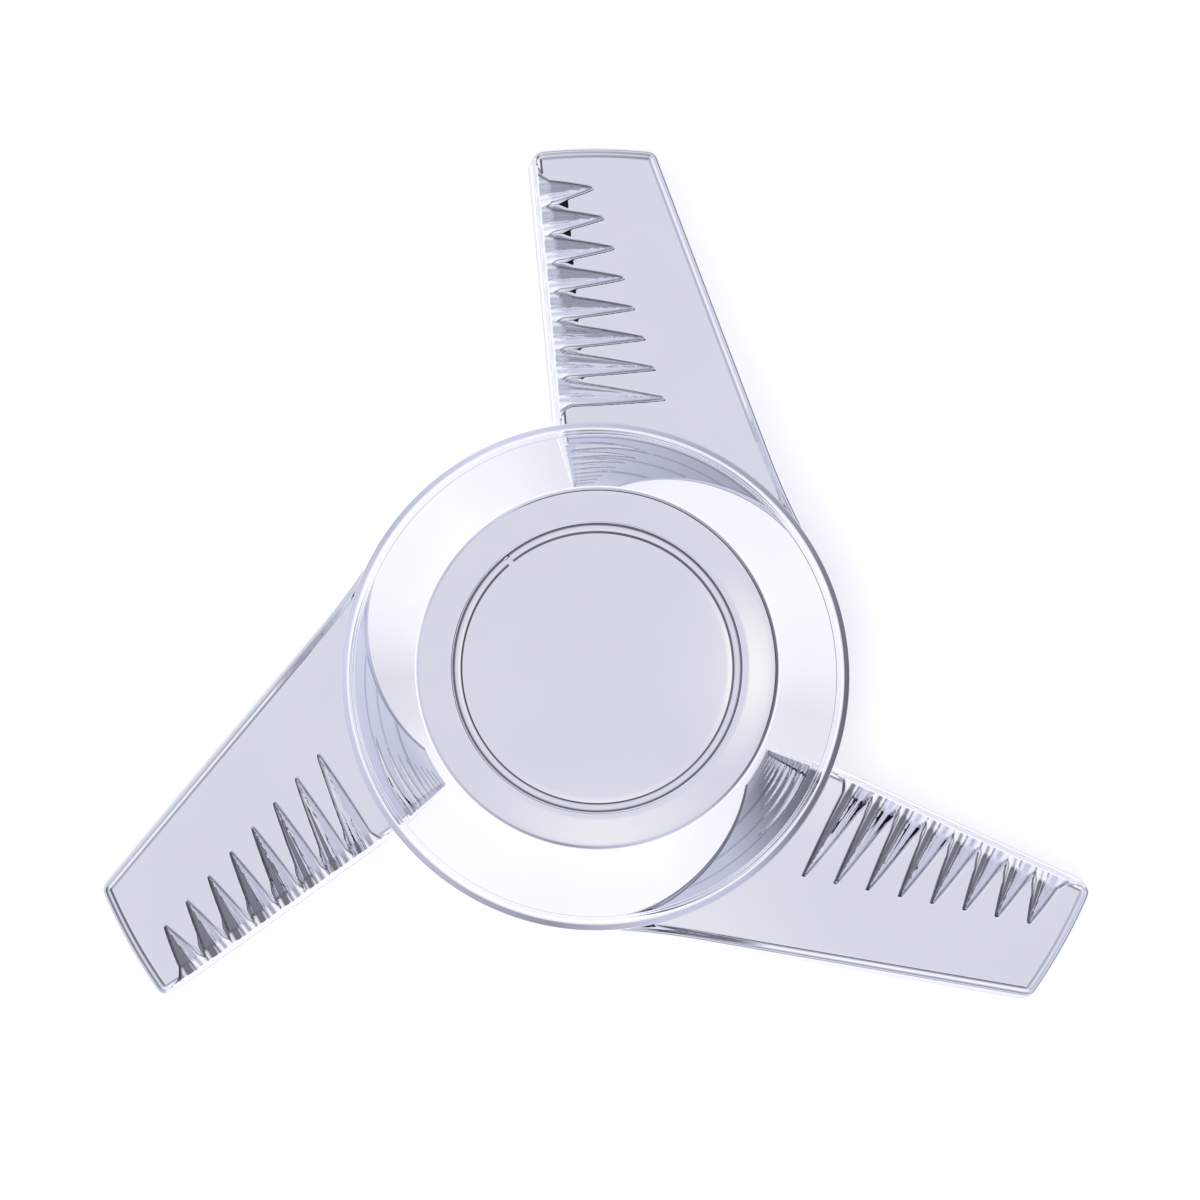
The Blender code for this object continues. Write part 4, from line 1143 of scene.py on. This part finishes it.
def make_world():
    sky = Sky()
    zenith = sky.degrees(sky.math('ARCCOSINE', sky.z))
    bearing = sky.degrees(sky.math('ARCTAN2', sky.y, sky.x))
    greys = color_ramp(sky.tree, sky.math('MULTIPLY_ADD', bearing, 1.0 / 360.0, 0.5),
                       by_bearing(TENT_GREYS, COOL))
    top = TENT_TOP
    for place, size, strength in PATCHES:
        away = [sky.math('SUBTRACT', value, start) for value, start in zip((sky.x, sky.y), place)]
        distance = sky.math('SQRT', sky.math('ADD', *(sky.math('MULTIPLY', a, a) for a in away)))
        top = sky.mix(sky.math('MULTIPLY', sky.band(distance, size, 0.0), strength), top, BACKDROP)
    tent = sky.mix(sky.band(zenith, *TENT_BANDS[0]), top, greys)
    tent = sky.mix(sky.band(zenith, *TENT_BANDS[1]), tent, TENT_LOW)
    marks = [(0.0, 1.0)]
    for place, half, depth in SEAMS:
        marks += [(place - half, 1.0), (place, 1.0 - depth), (place + half, 1.0)]
    seams = color_ramp(sky.tree, sky.math('MULTIPLY', zenith, 1.0 / 90.0),
                       [(z / 90.0, (v, v, v)) for z, v in marks])
    tent = sky.mix(seams, (0.0, 0.0, 0.0), tent)
    sector = sky.math('MULTIPLY', *(sky.band(bearing, *ends) for ends in CARD_BEARINGS))
    height = sky.math('MULTIPLY', *(sky.band(zenith, *ends) for ends in CARD_ZENITHS))
    tent = sky.mix(sky.math('MULTIPLY', sector, height), tent, CARD)
    path = sky.tree.nodes.new("ShaderNodeLightPath")
    tent = sky.mix(path.outputs["Is Camera Ray"], tent, BACKDROP)
    background = sky.tree.nodes.new("ShaderNodeBackground")
    output = sky.tree.nodes.new("ShaderNodeOutputWorld")
    sky.tree.links.new(tent, background.inputs["Color"])
    sky.tree.links.new(background.outputs[0], output.inputs["Surface"])
    bpy.context.scene.world = sky.world


def make_lights():
    """A large soft lamp that lifts the floor and the dark rubber; chrome doesn't mirror it."""
    data = bpy.data.lights.new("softbox", 'AREA')
    data.shape = 'DISK'
    data.size = 1.2
    data.energy = 6.0
    obj = new_object("softbox", data)
    obj.visible_glossy = False
    obj.visible_camera = False
    obj.location = LAMP_AT
    obj.rotation_euler = LAMP_AT.to_track_quat('Z', 'Y').to_euler()


# ---------------- the scene

make_camera()
make_world()
make_lights()
make_floor()
make_table_shade_sheet()
bpy.context.scene.view_settings.view_transform = 'Standard'

casting_chrome = chrome("casting_chrome", 0.0035)
# painted shade: the casting's chrome darkens along its creases by the point attribute made in make_casting
painted_crease_shade = casting_chrome.add("ShaderNodeAttribute", attribute_name="painted_crease_shade")
casting_chrome.paint_shade(painted_crease_shade.outputs["Fac"], SHADOW)
make_casting(casting_chrome.material)
make_dome(chrome("dome_chrome", 0.0025).material)
make_disc(chrome("disc_chrome", 0.0006, rough=(0.01, 0.03)).material)
ring_chrome = chrome("ring_chrome", 0.001)
# paint shade into the split ring's crevices
for band in RING_SHADE_BANDS:
    ring_chrome.paint_shade(ring_chrome.radius_band(*band), SHADOW)
make_ring(ring_chrome.material)

steel = turned_steel("machined_steel").material
zinc = plated_zinc("zinc_plate").material
oxide = black_oxide("black_oxide").material
make_bush(steel)
make_washer(zinc, steel)
make_adapter(steel, rubber("gasket_rubber").material)
make_screws(zinc, oxide)
repaint("emblem_pad", foam("pad_foam").material)
